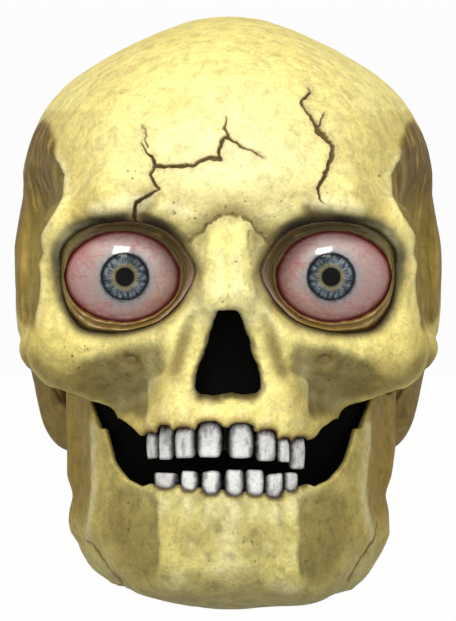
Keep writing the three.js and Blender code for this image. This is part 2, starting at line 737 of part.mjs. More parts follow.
for (const [sideName, side] of [["left", 1], ["right", -1]]) {
  for (const [name, [geometry, colour, roughness]] of Object.entries(eyePieces)) {
    place(`${name}_${sideName}`, side > 0 ? geometry : flipped(geometry), colour, roughness);
  }
  place(`temple_pad_${sideName}`, templePad(side), COLOURS.foam, 0.95);
  place(`strap_patch_${sideName}`, sidePatch(side), COLOURS.patch, 0.7);
  place(`pivot_plate_${sideName}`, sidePiece(disc(...PIVOT_X.plate, 7.2), side), COLOURS.steel, 0.4, 0.9);
  place(`pivot_pin_${sideName}`, sidePiece(disc(...PIVOT_X.pin, PIN_RADIUS), side), COLOURS.steel, 0.3, 0.9);
  const bush = ring(...PIVOT_X.bush, PIN_RADIUS + 0.4, 5.6);
  place(`pivot_bush_${sideName}`, sidePiece(bush, side), COLOURS.nylon, 0.5);
  place(`jaw_hinge_arm_${sideName}`, side > 0 ? hingeArm() : flipped(hingeArm()), COLOURS.nylon, 0.5);
  place(`pivot_cap_${sideName}`, sidePiece(disc(...PIVOT_X.cap, 6), side), COLOURS.steel, 0.35, 0.9);
  place(`jaw_elastic_${sideName}`, jawElastic(side), COLOURS.strap, 0.85);
}

export default mask;
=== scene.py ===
"""Looks of the moulded latex skull mask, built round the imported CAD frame."""
import math

import bpy
import numpy as np
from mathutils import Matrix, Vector


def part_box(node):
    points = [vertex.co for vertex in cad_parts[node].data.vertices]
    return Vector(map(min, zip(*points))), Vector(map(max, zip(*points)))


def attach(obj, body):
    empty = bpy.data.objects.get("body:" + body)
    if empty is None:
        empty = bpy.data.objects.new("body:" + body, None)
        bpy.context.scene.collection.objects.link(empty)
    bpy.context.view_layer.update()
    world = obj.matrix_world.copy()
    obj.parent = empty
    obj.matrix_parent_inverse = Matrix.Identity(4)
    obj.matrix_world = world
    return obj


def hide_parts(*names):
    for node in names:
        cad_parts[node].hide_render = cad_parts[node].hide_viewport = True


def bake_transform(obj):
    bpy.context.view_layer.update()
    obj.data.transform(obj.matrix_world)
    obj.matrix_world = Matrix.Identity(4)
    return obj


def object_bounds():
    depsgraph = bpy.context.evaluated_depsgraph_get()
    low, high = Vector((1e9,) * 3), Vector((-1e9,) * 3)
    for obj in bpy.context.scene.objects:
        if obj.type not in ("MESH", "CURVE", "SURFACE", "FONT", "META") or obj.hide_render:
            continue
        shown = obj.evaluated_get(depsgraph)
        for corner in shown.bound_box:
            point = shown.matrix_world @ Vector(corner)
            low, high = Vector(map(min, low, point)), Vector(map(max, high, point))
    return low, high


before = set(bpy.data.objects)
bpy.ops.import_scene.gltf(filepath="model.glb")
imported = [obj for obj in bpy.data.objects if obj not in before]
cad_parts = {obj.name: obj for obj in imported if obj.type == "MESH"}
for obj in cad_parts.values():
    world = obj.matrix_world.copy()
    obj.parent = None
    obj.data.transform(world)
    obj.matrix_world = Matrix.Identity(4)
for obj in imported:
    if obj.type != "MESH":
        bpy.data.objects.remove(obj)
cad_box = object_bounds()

# ---------------------------------------------------------------- sizes, in millimetres of the mask
# x to the wearer's left, y back from the face, z up from the chin. The origin below is the row frame's.

ORIGIN = np.array([0.0, -117.0, 225.0])
WALL = 3.0
LINER_GAP = 1.6
HINGE_Y, HINGE_Z = -38.0, 122.0
EYE_X, EYE_Y, EYE_Z = 48.6, -118.0, 155.8
EYE_WIDE, EYE_HIGH, EYE_DEEP, IRIS_RADIUS = 29.0, 24.0, 20.0, 11.0
LID_X, LID_Z, LID_WIDE, LID_HIGH = 50.0, 156.0, 27.0, 21.2
# Each tooth arch is a half ellipse: y of its ends, half width, depth.
UPPER_ARCH = (-102.8, 43.5, 41.0)
LOWER_ARCH = (-103.0, 43.0, 39.0)
UPPER_SCALLOP, LOWER_SCALLOP = 2.6, 2.4
TOOTH_DEPTH = 7.0
STRAP_WIDE, STRAP_THICK, STRAP_Z, STRAP_Y = 25.0, 1.8, 165.0, 43.0
SIDES = {"left": 1, "right": -1}


def to_row(points):
    return (np.asarray(points, float) - ORIGIN) / 1000


# ---------------------------------------------------------------- camera, level and far off

CAMERA_DISTANCE = 10.0
FRAME_HEIGHT = 0.2942
AIM_Z = -0.0850
FACE_DEPTH = 0.075
SENSOR = 36
camera = bpy.data.objects.new("camera", bpy.data.cameras.new("camera"))
bpy.context.scene.collection.objects.link(camera)
bpy.context.scene.camera = camera
camera.data.sensor_width = SENSOR
camera.data.lens = SENSOR * CAMERA_DISTANCE / FRAME_HEIGHT
camera.location = (0, cad_box[0].y + FACE_DEPTH - CAMERA_DISTANCE, AIM_Z)
camera.rotation_euler = (math.radians(90), 0, 0)
camera.data.clip_end = 200


# ---------------------------------------------------------------- numbers: easing, noise, outlines

def smooth(low, high, value):
    t = np.clip((value - low) / (high - low), 0, 1)
    return t * t * (3 - 2 * t)


def bell(value, width):
    """1 where the value is 0, fading to almost nothing two widths away."""
    return np.exp(-(value / width) ** 2)


def full_turn(count):
    """`count` even angles round a circle."""
    return np.arange(count) / count * 2 * math.pi


def rounded(value, power):
    """A sine or cosine pushed towards its ends, which turns a circle into a rounded box."""
    return np.sign(value) * np.abs(value) ** power


def lattice(cells, seed):
    """A repeatable value from 0 to 1 for each whole-numbered cell."""
    c = cells.astype(np.uint32)
    mixed = c[..., 0] * np.uint32(374761393) + c[..., 1] * np.uint32(668265263)
    mixed = mixed + c[..., 2] * np.uint32(2147483647) + np.uint32(seed * 144665 + 17)
    mixed = (mixed ^ (mixed >> np.uint32(13))) * np.uint32(1274126177)
    mixed = (mixed ^ (mixed >> np.uint32(16))) * np.uint32(2246822519)
    return ((mixed ^ (mixed >> np.uint32(15))) & np.uint32(0xFFFFFF)) / float(0xFFFFFF)


def noise(points, size, seed):
    """Smooth noise from -1 to 1 with features about `size` across."""
    p = points / size + 1000.0
    base = np.floor(p)
    f = p - base
    f = f * f * (3 - 2 * f)
    total = 0
    for corner in range(8):
        step = np.array([corner & 1, corner >> 1 & 1, corner >> 2 & 1])
        weight = np.prod(np.where(step == 1, f, 1 - f), axis=-1)
        total = total + weight * lattice(base.astype(np.int64) + step, seed)
    return total * 2 - 1


def layered(points, size, seed, layers=4):
    """Noise with finer and weaker noise laid over it."""
    total, strength = 0, 1.0
    for i in range(layers):
        total = total + strength * noise(points, size / 2 ** i, seed + i)
        strength *= 0.5
    return total / 1.6


def spline_span(p0, p1, p2, p3, count, endpoint=False):
    """Points from p1 to p2 on a centripetal Catmull-Rom curve."""
    chords = ((p0, p1), (p1, p2), (p2, p3))
    k = np.r_[0, np.cumsum([max(np.linalg.norm(b - a), 1e-6) ** 0.5 for a, b in chords])]
    t = np.linspace(k[1], k[2], count, endpoint=endpoint)[:, None]

    def between(i, j, a, b):
        return (k[j] - t) / (k[j] - k[i]) * a + (t - k[i]) / (k[j] - k[i]) * b

    a1, a2, a3 = between(0, 1, p0, p1), between(1, 2, p1, p2), between(2, 3, p2, p3)
    return between(1, 2, between(0, 2, a1, a2), between(1, 3, a2, a3))


def resampled(dense, count, endpoint):
    """Evenly spaced points along a fine polyline."""
    run = np.r_[0, np.cumsum(np.linalg.norm(np.diff(dense, axis=0), axis=1))]
    at = np.linspace(0, run[-1], count, endpoint=endpoint)
    return np.stack([np.interp(at, run, column) for column in dense.T], 1)


def smooth_loop(points, count):
    """Evenly spaced points on a closed curve."""
    p = np.array(points, float)
    n = len(p)
    dense = np.vstack([spline_span(p[i - 1], p[i], p[(i + 1) % n], p[(i + 2) % n], 24) for i in range(n)])
    return resampled(np.vstack([dense, dense[:1]]), count, False)


def smooth_path(points, count):
    """Evenly spaced points on an open curve through 3-D points."""
    p = np.array(points, float)
    p = np.vstack([2 * p[0] - p[1], p, 2 * p[-1] - p[-2]])
    last = len(p) - 3
    dense = np.vstack([spline_span(*p[i - 1:i + 3], 20, i == last) for i in range(1, last + 1)])
    return resampled(dense, count, True)


def path_distance(u, v, path, closed=False):
    """Distance of each (u, v) from a path, and how far along it the nearest point is, in path points."""
    p = np.array(path, float)
    if closed:
        p = np.vstack([p, p[:1]])
    best = np.full(len(u), 1e9)
    place = np.zeros(len(u))
    for i in range(len(p) - 1):
        run = p[i + 1] - p[i]
        t = np.clip(((u - p[i, 0]) * run[0] + (v - p[i, 1]) * run[1]) / max(run @ run, 1e-9), 0, 1)
        away = np.hypot(u - p[i, 0] - t * run[0], v - p[i, 1] - t * run[1])
        nearer = away < best
        best = np.where(nearer, away, best)
        place = np.where(nearer, i + t, place)
    return best, place


def path_away(u, v, path):
    return path_distance(u, v, path)[0]


def outline_distance(u, v, outline):
    """Signed distance from a closed outline: positive outside it."""
    p = np.array(outline, float)
    away, _ = path_distance(u, v, p, closed=True)
    inside = np.zeros(len(u), bool)
    for a, b in zip(p, np.roll(p, -1, axis=0)):
        crosses = (a[1] > v) != (b[1] > v)
        with np.errstate(divide="ignore", invalid="ignore"):
            edge_u = (b[0] - a[0]) * (v - a[1]) / (b[1] - a[1]) + a[0]
        inside ^= crosses & (u < edge_u)
    return np.where(inside, -away, away)


def mirrored(points):
    """An outline's right half followed by its mirror image."""
    return list(points) + [(-x, z) for x, z in points if x > 0][::-1]


# ---------------------------------------------------------------- the bone forms, as in the CAD

def ball(centre, radii):
    def distance(x, y, z):
        d = [(v - c) / r for v, c, r in zip((x, y, z), centre, radii)]
        near = np.sqrt(d[0] ** 2 + d[1] ** 2 + d[2] ** 2) + 1e-6
        slope = np.sqrt(sum((v / r) ** 2 for v, r in zip(d, radii))) + 1e-9
        return near * (near - 1) / slope
    return distance


def rod(start, end, start_radius, end_radius):
    a = np.array(start, float)
    run = np.array(end, float) - a

    def distance(x, y, z):
        px, py, pz = x - a[0], y - a[1], z - a[2]
        t = np.clip((px * run[0] + py * run[1] + pz * run[2]) / (run @ run), 0, 1)
        away = np.sqrt((px - t * run[0]) ** 2 + (py - t * run[1]) ** 2 + (pz - t * run[2]) ** 2)
        return away - (start_radius + (end_radius - start_radius) * t)
    return distance


def bowl(centre, radii):
    power = 2.3

    def distance(x, y, z):
        plan = np.hypot((x - centre[0]) / radii[0], (y - centre[1]) / radii[1])
        drop = np.maximum(0, centre[2] - z) / radii[2]
        return ((plan ** power + drop ** power) ** (1 / power) - 1) * 0.9 * min(radii[:2])
    return distance


ADD, CUT = 1, -1
CRANIUM_FORM = [
    (ADD, 1, ball((0, 0, 181), (97.5, 143, 98))),
    (ADD, 22, ball((48, -20, 210), (38.5, 60, 38))),
    (ADD, 24, ball((0, -64, 198), (80, 80, 70))),
    (ADD, 16, ball((54, 0, 146), (45.5, 76, 62))),
    (ADD, 10, ball((74, -4, 104), (17, 20, 31))),
    (ADD, 14, ball((0, -92, 122), (64, 48, 50))),
    (ADD, 10, ball((0, -104, 87), (51, 47, 24))),
    (ADD, 14, ball((62, -98, 150), (24, 26, 46))),
    (CUT, 7, ball((128, -72, 176), (46, 56, 58))),
    (ADD, 16, rod((6, -136, 188), (52, -128, 192), 11, 9)),
    (ADD, 12, rod((52, -128, 192), (78, -108, 182), 9, 7)),
    (ADD, 10, rod((78, -108, 182), (80, -106, 152), 7, 7)),
    (ADD, 10, rod((80, -106, 152), (76, -107, 130), 7, 9)),
    (ADD, 14, ball((66, -102, 119), (28, 23, 19))),
    (ADD, 14, rod((76, -107, 127), (46, -122, 122), 8, 9)),
    (ADD, 14, rod((46, -122, 122), (22, -133, 132), 9, 9)),
    (ADD, 12, rod((12, -134, 186), (20, -133, 138), 10, 9)),
    (ADD, 12, rod((20, -133, 138), (24, -134, 98), 9, 9)),
    (ADD, 14, rod((3, -138, 186), (4, -149, 146), 10, 7)),
    (ADD, 12, rod((78, -98, 119), (88, -66, 121), 9, 7.5)),
    (ADD, 12, rod((88, -66, 121), (89, -26, 120), 7.5, 7.5)),
    (CUT, 5, ball((48, -146, 156), (33, 25, 28))),
]
JAW_FORM = [
    (ADD, 1, bowl((0, -40, 38), (74.5, 108, 38))),
    (ADD, 18, ball((0, -112, 23), (50, 37, 23))),
    (ADD, 8, ball((68, -54, 40), (7.5, 16, 11))),
    (ADD, 10, rod((69, -58, 64), (70, -44, 110), 7, 7)),
]
JAW_CEILING = 140


def form_distance(form, p):
    """Signed distance from a form: its shapes added or cut in turn, each with its own blend."""
    x, y, z = np.abs(p[:, 0]), p[:, 1], p[:, 2]
    total = np.full(len(p), 1000.0)
    for sign, blend, shape in form:
        a = sign * total
        b = shape(x, y, z)
        mix = np.clip(0.5 + 0.5 * (b - a) / blend, 0, 1)
        total = sign * (b + (a - b) * mix - blend * mix * (1 - mix))
    return np.maximum(total, z - JAW_CEILING) if form is JAW_FORM else total


def walk_in(form, start, heading, depth, steps=90):
    """Moves each point along its heading until the form is `depth` below its surface."""
    p = start.copy()
    live = np.arange(len(p))
    for _ in range(steps):
        left = form_distance(form, p[live]) + depth
        live = live[left > 0.02]
        if not len(live):
            break
        left = left[left > 0.02]
        p[live] += heading[live] * np.clip(left * 0.75, 0.04, 14)[:, None]
    return p


# ---------------------------------------------------------------- meshes

def make_object(name, points, faces, material, body, colours=None, is_smooth=True, node=None):
    """A mesh object in row metres from points in mask millimetres.

    `colours` are linear paint values, and `node` is the CAD node that the piece stands in for.
    """
    mesh = bpy.data.meshes.new(name)
    mesh.from_pydata(to_row(points), [], faces if isinstance(faces, list) else faces.tolist())
    mesh.update()
    if colours is not None:
        layer = mesh.color_attributes.new("paint", "FLOAT_COLOR", "POINT")
        values = np.ones((len(points), 4), np.float32)
        values[:, :3] = colours
        layer.data.foreach_set("color", values.ravel())
    mesh.polygons.foreach_set("use_smooth", [is_smooth] * len(mesh.polygons))
    thing = bpy.data.objects.new(name, mesh)
    bpy.context.scene.collection.objects.link(thing)
    thing.data.materials.append(material)
    if body:
        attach(thing, body)
    if node:
        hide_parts(node)
    return thing


def loft_faces(rows, count, is_ring=False, is_closed=True, has_caps=True):
    """Quads between `rows` rows of `count` points, with end faces if the rows don't form a ring."""
    faces = []
    for i in range(rows if is_ring else rows - 1):
        here, there = i * count, (i + 1) % rows * count
        for j in range(count if is_closed else count - 1):
            k = (j + 1) % count
            faces.append((here + j, here + k, there + k, there + j))
    if has_caps and not is_ring:
        faces.append(tuple(range(count - 1, -1, -1)))
        faces.append(tuple((rows - 1) * count + j for j in range(count)))
    return faces


def facing_out(points, faces):
    """The faces, turned so that a closed mesh's normals point out."""
    p = np.asarray(points, float)
    thirds = np.array([(f[0], f[i], f[i + 1]) for f in faces for i in range(1, len(f) - 1)])
    a, b, c = p[thirds[:, 0]], p[thirds[:, 1]], p[thirds[:, 2]]
    volume = np.einsum("ij,ij->", a, np.cross(b, c))
    return faces if volume > 0 else [tuple(reversed(f)) for f in faces]


def loft(rows, is_ring=False):
    """Points and outward faces of a closed mesh from equal rows of points."""
    points = np.concatenate([np.asarray(r, float) for r in rows])
    faces = loft_faces(len(rows), len(rows[0]), is_ring)
    return points, facing_out(points, faces)


def closed_sheet(rows, thickness):
    """Points and outward faces of a thin panel, from rows of front points; the back is set back along y."""
    front = np.array(rows, float)
    n, m = front.shape[:2]
    front = front.reshape(-1, 3)
    faces = loft_faces(n, m, is_closed=False, has_caps=False)
    faces += [tuple(k + n * m for k in reversed(f)) for f in faces]
    rim = list(range(m)) + [i * m + m - 1 for i in range(1, n)]
    rim += [(n - 1) * m + j for j in range(m - 2, -1, -1)] + [i * m for i in range(n - 2, 0, -1)]
    faces += [(b, a, a + n * m, b + n * m) for a, b in zip(rim, rim[1:] + rim[:1])]
    points = np.vstack([front, front + (0, thickness, 0)])
    return points, facing_out(points, faces)


def mirrored_mesh(points, faces, side):
    """The mesh moved to its side of the mask, with its faces still turned out."""
    points = points * (side, 1, 1)
    return points, facing_out(points, faces)


def vertex_normals(points, faces):
    """Area-weighted normals of a triangle mesh."""
    a, b, c = (points[faces[:, i]] for i in range(3))
    n = np.cross(b - a, c - a)
    total = np.zeros_like(points)
    for i in range(3):
        np.add.at(total, faces[:, i], n)
    return total / np.maximum(np.linalg.norm(total, axis=1, keepdims=True), 1e-9)


def edge_key(a, b):
    return np.minimum(a, b).astype(np.int64) * 10_000_000 + np.maximum(a, b)


def clip(table, faces, value, snap=0.08):
    """Cuts triangles where `value` turns negative and keeps the positive side.

    `table` holds each vertex's numbers, which new vertices share in proportion.
    """
    value = np.where(np.abs(value) < snap, 0.0, value)
    inside = value >= 0
    count = inside[faces].sum(1)
    kept = [faces[count == 3]]
    cut_faces = faces[(count == 1) | (count == 2)]
    edges = np.vstack([cut_faces[:, [0, 1]], cut_faces[:, [1, 2]], cut_faces[:, [2, 0]]])
    edges = edges[inside[edges[:, 0]] != inside[edges[:, 1]]]
    keys, first = np.unique(edge_key(edges[:, 0], edges[:, 1]), return_index=True)
    a, b = edges[first, 0], edges[first, 1]
    t = value[a] / (value[a] - value[b])
    made = table[a] * (1 - t)[:, None] + table[b] * t[:, None]
    number = len(table) + np.arange(len(keys))
    number = np.where(value[a] == 0, a, np.where(value[b] == 0, b, number))

    def crossing(p, q):
        return number[np.searchsorted(keys, edge_key(p, q))]

    for turn in range(3):
        p, q, r = (cut_faces[:, (turn + i) % 3] for i in range(3))
        one = inside[p] & ~inside[q] & ~inside[r]
        if one.any():
            kept.append(np.stack([p[one], crossing(p[one], q[one]), crossing(p[one], r[one])], 1))
        two = ~inside[p] & inside[q] & inside[r]
        if two.any():
            on_q, on_r = crossing(p[two], q[two]), crossing(p[two], r[two])
            kept.append(np.stack([on_q, q[two], r[two]], 1))
            kept.append(np.stack([on_q, r[two], on_r], 1))
    return compact(np.vstack([table, made]), np.vstack(kept))


def compact(table, faces):
    """Drops collapsed triangles and unused vertices."""
    faces = faces[(faces[:, 0] != faces[:, 1]) & (faces[:, 1] != faces[:, 2]) & (faces[:, 2] != faces[:, 0])]
    used, renumbered = np.unique(faces, return_inverse=True)
    return table[used], renumbered.reshape(faces.shape)


def refine(table, faces, near, longest):
    """Splits every edge longer than `longest` whose ends are both in the `near` mask."""
    edges = np.vstack([faces[:, [0, 1]], faces[:, [1, 2]], faces[:, [2, 0]]])
    keys, first = np.unique(edge_key(edges[:, 0], edges[:, 1]), return_index=True)
    a, b = edges[first, 0], edges[first, 1]
    length = np.linalg.norm(table[a, :3] - table[b, :3], axis=1)
    split = near[a] & near[b] & (length > longest)
    number = np.full(len(keys), -1)
    number[split] = len(table) + np.arange(split.sum())
    table = np.vstack([table, (table[a[split]] + table[b[split]]) / 2])
    sides = [edge_key(faces[:, i], faces[:, (i + 1) % 3]) for i in range(3)]
    mid = np.stack([number[np.searchsorted(keys, side)] for side in sides], 1)
    count = (mid >= 0).sum(1)
    result = [faces[count == 0]]
    f, m = faces[count == 3], mid[count == 3]
    result.append(np.stack([f[:, 0], m[:, 0], m[:, 2]], 1))
    result.append(np.stack([m[:, 0], f[:, 1], m[:, 1]], 1))
    result.append(np.stack([m[:, 2], m[:, 1], f[:, 2]], 1))
    result.append(m)
    for turn in range(3):
        i, j, k = turn, (turn + 1) % 3, (turn + 2) % 3
        pick = (count == 1) & (mid[:, i] >= 0)
        f, m = faces[pick], mid[pick]
        result.append(np.stack([f[:, i], m[:, i], f[:, k]], 1))
        result.append(np.stack([m[:, i], f[:, j], f[:, k]], 1))
        pick = (count == 2) & (mid[:, i] < 0)
        f, m = faces[pick], mid[pick]
        result.append(np.stack([m[:, j], f[:, k], m[:, k]], 1))
        result.append(np.stack([f[:, i], m[:, j], m[:, k]], 1))
        result.append(np.stack([f[:, i], f[:, j], m[:, j]], 1))
    return table, np.vstack(result)


def boundary_edges(faces):
    """Edges that only one triangle has."""
    edges = np.vstack([faces[:, [0, 1]], faces[:, [1, 2]], faces[:, [2, 0]]])
    _, first, counts = np.unique(edge_key(edges[:, 0], edges[:, 1]), return_index=True, return_counts=True)
    return edges[first[counts == 1]]


def largest_piece(table, faces):
    """The connected part with the most triangles."""
    label = np.arange(len(table))
    while True:
        low = label[faces].min(1)
        new = label.copy()
        for i in range(3):
            np.minimum.at(new, faces[:, i], low)
        new = new[new]
        if (new == label).all():
            break
        label = new
    of_face = label[faces[:, 0]]
    names, counts = np.unique(of_face, return_counts=True)
    return compact(table, faces[of_face == names[counts.argmax()]])


def polar_skin(form, centre, rings, spokes, squeeze):
    """Rays from `centre` give each vertex's outer point, then its inner point, in one six-column table."""
    share = np.arange(rings + 1) / rings
    polar = math.pi / 2 * (squeeze * share + (1 - squeeze) * share ** 2)
    turn = full_turn(spokes)
    polar_all = np.r_[0, np.repeat(polar[1:], spokes)]
    turn_all = np.r_[0, np.tile(turn, rings)]
    direction = np.stack(
        [np.sin(polar_all) * np.cos(turn_all), -np.cos(polar_all), np.sin(polar_all) * np.sin(turn_all)], 1)
    direction[polar_all >= math.pi / 2 - 1e-9, 1] = 0
    start = np.array(centre, float) + direction * 230
    outer = walk_in(form, start, -direction, 0)
    inner = walk_in(form, outer, -direction, WALL)
    grid = 1 + np.arange(rings * spokes).reshape(rings, spokes)
    following = np.roll(grid, -1, axis=1)
    a, b, c, d = grid[:-1].ravel(), grid[1:].ravel(), following[1:].ravel(), following[:-1].ravel()
    is_left = (np.cos(turn_all[a]) > 0)[:, None]
    one = np.where(is_left, np.stack([a, b, d], 1), np.stack([a, b, c], 1))
    two = np.where(is_left, np.stack([b, c, d], 1), np.stack([a, c, d], 1))
    cap = np.stack([np.zeros(spokes, int), grid[0], following[0]], 1)
    return np.hstack([outer, inner]), np.vstack([cap, one, two])


def thick_shell(outer, inner, faces, bulge=0.7, pull=0.35):
    """Closes an outer and an inner skin with a rounded rim.

    Returns points, faces and, for each point, its outer vertex.
    """
    rim = boundary_edges(faces)
    tangent = np.zeros_like(outer)
    run = outer[rim[:, 1]] - outer[rim[:, 0]]
    for i in range(2):
        np.add.at(tangent, rim[:, i], run)
    rim_vertices = np.unique(rim)
    through = outer - inner
    through /= np.maximum(np.linalg.norm(through, axis=1, keepdims=True), 1e-9)
    aside = np.cross(tangent, through)
    aside /= np.maximum(np.linalg.norm(aside, axis=1, keepdims=True), 1e-9)
    position = np.full(len(outer), -1)
    position[rim_vertices] = np.arange(len(rim_vertices))
    points = [outer.copy(), inner]
    points[0][rim_vertices] -= through[rim_vertices] * pull
    source = [np.arange(len(outer)), np.arange(len(outer))]
    chain = [np.arange(len(outer))]
    base = 2 * len(outer)
    for share, out in ((0.28, 0.75), (0.5, 1.0), (0.75, 0.7)):
        ring = outer[rim_vertices] * (1 - share) + inner[rim_vertices] * share
        points.append(ring + aside[rim_vertices] * bulge * out)
        source.append(rim_vertices)
        chain.append(base + position)
        base += len(rim_vertices)
    chain.append(len(outer) + np.arange(len(outer)))
    all_faces = [faces, faces[:, ::-1] + len(outer)]
    for upper, lower in zip(chain, chain[1:]):
        a, b = rim[:, 0], rim[:, 1]
        all_faces.append(np.stack([upper[b], upper[a], lower[a]], 1))
        all_faces.append(np.stack([upper[b], lower[a], lower[b]], 1))
    return np.vstack(points), np.vstack(all_faces), np.concatenate(source)


# ---------------------------------------------------------------- paint helpers

def colour(code):
    """Linear red, green and blue of a #rrggbb code."""
    parts = np.array([int(code[i:i + 2], 16) / 255 for i in (1, 3, 5)])
    return np.where(parts <= 0.04045, parts / 12.92, ((parts + 0.055) / 1.055) ** 2.4)


def flat_paint(count, code):
    return np.tile(colour(code), (count, 1))


def over(paint, code, mask):
    """The paint with another colour laid over it by a mask from 0 to 1."""
    mask = np.clip(mask, 0, 1)[:, None]
    return paint * (1 - mask) + colour(code) * mask


def occlusion(form, points, normals):
    """How closed-in a point is, from 0 in the open to 1 in a deep hollow."""
    shade = 0
    for reach, weight in ((3, 0.3), (7, 0.35), (15, 0.35)):
        clear = form_distance(form, points + normals * reach)
        shade = shade + weight * np.clip(1 - clear / reach, 0, 1)
    return shade


def scatter(centre, spread, count, seed):
    """Repeatable random points (u, v, size) round a centre."""
    random = np.random.default_rng(seed)
    u = random.uniform(centre[0] - spread[0], centre[0] + spread[0], count)
    v = random.uniform(centre[1] - spread[1], centre[1] + spread[1], count)
    return np.stack([u, v, 0.22 + 0.5 * random.random(count) ** 2.5], 1)


def pit_depth(x, z, pits):
    """Depth of the pits at each point, larger pits being deeper."""
    depth = np.zeros(len(x))
    for u, v, size in pits:
        away = np.hypot(x - u, z - v)
        depth = np.maximum(depth, 1.3 * size * (1 - smooth(0.2 * size, 0.8 * size + 0.3, away)))
    return depth


# ---------------------------------------------------------------- outlines, as in the CAD

ORBIT = smooth_loop([
    (79.4, 160), (79.2, 169), (72, 178), (60, 182.4), (46, 183.4), (31, 180), (19.5, 170), (14.4, 158.5),
    (20.5, 145), (31, 134.5), (44, 129.6), (58, 128.4), (69, 131), (76.6, 141), (78.9, 150)], 160)
NOSE = smooth_loop(mirrored([
    (0, 140.0), (5.4, 139.4), (8.2, 131), (12.4, 118), (16.0, 107), (14.6, 100), (8, 97.8), (0, 99.3)]), 160)
LOWER_EDGE = mirrored([
    (0, 83.4), (30, 83), (40, 81), (50, 88.4), (60, 91), (64, 97), (74, 100.5), (80.5, 102.8), (85.3, 103.4),
    (90.3, 108.7), (93.3, 112), (115, 112), (115, -20)])
UNDER_ARCH = [
    (-102, -20), (-102, 104), (-96, 109), (-86, 112), (-40, 112), (-32, 110), (-27, 106), (-25.5, 98),
    (-25.5, -20)]
NECK = mirrored([(66, 113), (73, 105), (73, -20)])
MOUTH = mirrored([
    (0, 53.6), (20, 53.6), (37.8, 57.7), (41.9, 56.3), (48.8, 59.7), (52.9, 64.5), (55.7, 68.7),
    (61.2, 89.4), (62.8, 98), (62.8, 160)])
BRANCH_TOP = [
    (-160, 160), (-160, 84), (-100, 84), (-88, 97), (-78, 107), (-70, 107), (-63, 101), (-56, 100),
    (-50, 102.5), (-20, 102.5), (-20, 160)]
REAR_EDGE = [
    (-20, 120), (-28.5, 120), (-30, 104), (-36, 86), (-42, 70), (-47, 50), (-45, 34), (-52, 18), (-64, 8),
    (-64, -20), (0, -20), (0, 120)]
JAW_NECK = mirrored([(0, -99), (26, -96), (44, -84), (54, -66), (58, -46), (58, 0)])

# x of each tooth's edges, z of its root and biting edge.
UPPER_TEETH = [
    (-40.1, -34.4, 82.4, 70.1), (-34.1, -27.1, 85.9, 69.7), (-26.5, -16.1, 84.8, 70.6),
    (-15.3, -2.9, 87.8, 70.9), (0.3, 12.7, 87, 70.6), (13.9, 23.8, 83.9, 69.2),
    (24.3, 30.4, 79.8, 68.6), (30.9, 38.2, 79.8, 65.4)]
LOWER_TEETH = [
    (-36.8, -25.3, 55.7, 63.5), (-23.4, -14.9, 54.5, 64.3), (-13.1, -3.6, 52.8, 64.3),
    (-1.7, 8.0, 52.3, 64.9), (8.6, 18.0, 52.3, 64.9), (18.5, 27.2, 51.1, 63.2), (27.7, 34.5, 54.3, 63.5)]

# Cracks in the forehead: half width at the start and end, then the path.
CRACKS = [
    (0.10, 0.20, [(-39.5, 226.8), (-37.8, 222), (-38.5, 220.5), (-36.8, 217)]),
    (0.15, 0.55, [(-40, 218), (-37.4, 213.6), (-35.8, 212), (-33.5, 208)]),
    (0.60, 0.75, [(-33.5, 208), (-29.8, 207.4), (-24.5, 208.2), (-17.2, 208), (-11.9, 211), (-8.5, 212),
                  (-3.9, 211.7)]),
    (0.75, 0.45, [(-3.9, 211.7), (-4.2, 215.5), (-1.9, 221), (-0.2, 221.5)]),
    (0.40, 0.10, [(-0.2, 221.5), (-1.2, 226), (-0.4, 229), (-0.6, 231.5)]),
    (0.40, 0.12, [(-0.2, 221.2), (4, 219.5), (7.5, 216.4), (10.8, 215.5), (16.7, 211.8)]),
    (0.60, 0.25, [(-34.6, 208), (-36.2, 203.6), (-35.6, 201), (-34.2, 199), (-32, 197)]),
    (0.20, 1.00, [(-32, 197), (-37, 194.4), (-42.5, 191), (-43.8, 183)]),
    (0.15, 1.00, [(38, 245), (38.2, 242.7), (34.6, 239), (34.4, 236.4), (38.7, 232), (39.3, 229),
                  (41.3, 225.4), (45.3, 221.5), (48.6, 217.5)]),
    (1.00, 0.70, [(48.6, 217.5), (48.5, 213), (46.6, 209), (45.6, 203.5)]),
    (0.70, 0.15, [(45.6, 203.5), (42.3, 197.5), (42.6, 195), (45, 190)]),
    (0.30, 0.10, [(41.3, 226), (43.5, 229.5), (45, 233.4)]),
]
SEAM = [(-19, 171), (-16, 174.5), (-12.5, 176.5), (-10, 180.5), (-5, 184), (0, 185), (6, 184.4), (11, 181.5),
        (13.5, 177), (17, 174.5), (20, 170.5)]


def crack_masks(x, z, points):
    """Depth of the cracks from 0 to 1, and a soft dark halo round them."""
    warp_x = x + 0.7 * noise(points, 3.1, 5) + 0.35 * noise(points, 1.3, 6)
    warp_z = z + 0.7 * noise(points, 3.1, 7) + 0.35 * noise(points, 1.3, 8)
    groove, halo = np.zeros(len(x)), np.zeros(len(x))
    for start, end, path in CRACKS:
        away, place = path_distance(warp_x, warp_z, path)
        half = start + (end - start) * place / (len(path) - 1)
        strength = np.clip(half / 0.6 + 0.25, 0, 1)
        groove = np.maximum(groove, (1 - smooth(half * 0.55, half + 0.55, away)) * strength)
        halo = np.maximum(halo, bell(away, 1.2 + 1.6 * half))
    return groove, halo


def seam_masks(x, z, points):
    """Distance from the brow seam, the same with a jagged edge, and a mask of what lies above it."""
    away = path_away(x, z, SEAM)
    jag = away + 0.9 * noise(points, 1.9, 61) - 0.2
    above = smooth(-1.5, 1.0, z - np.interp(x, *np.transpose(SEAM)))
    return away, jag, above


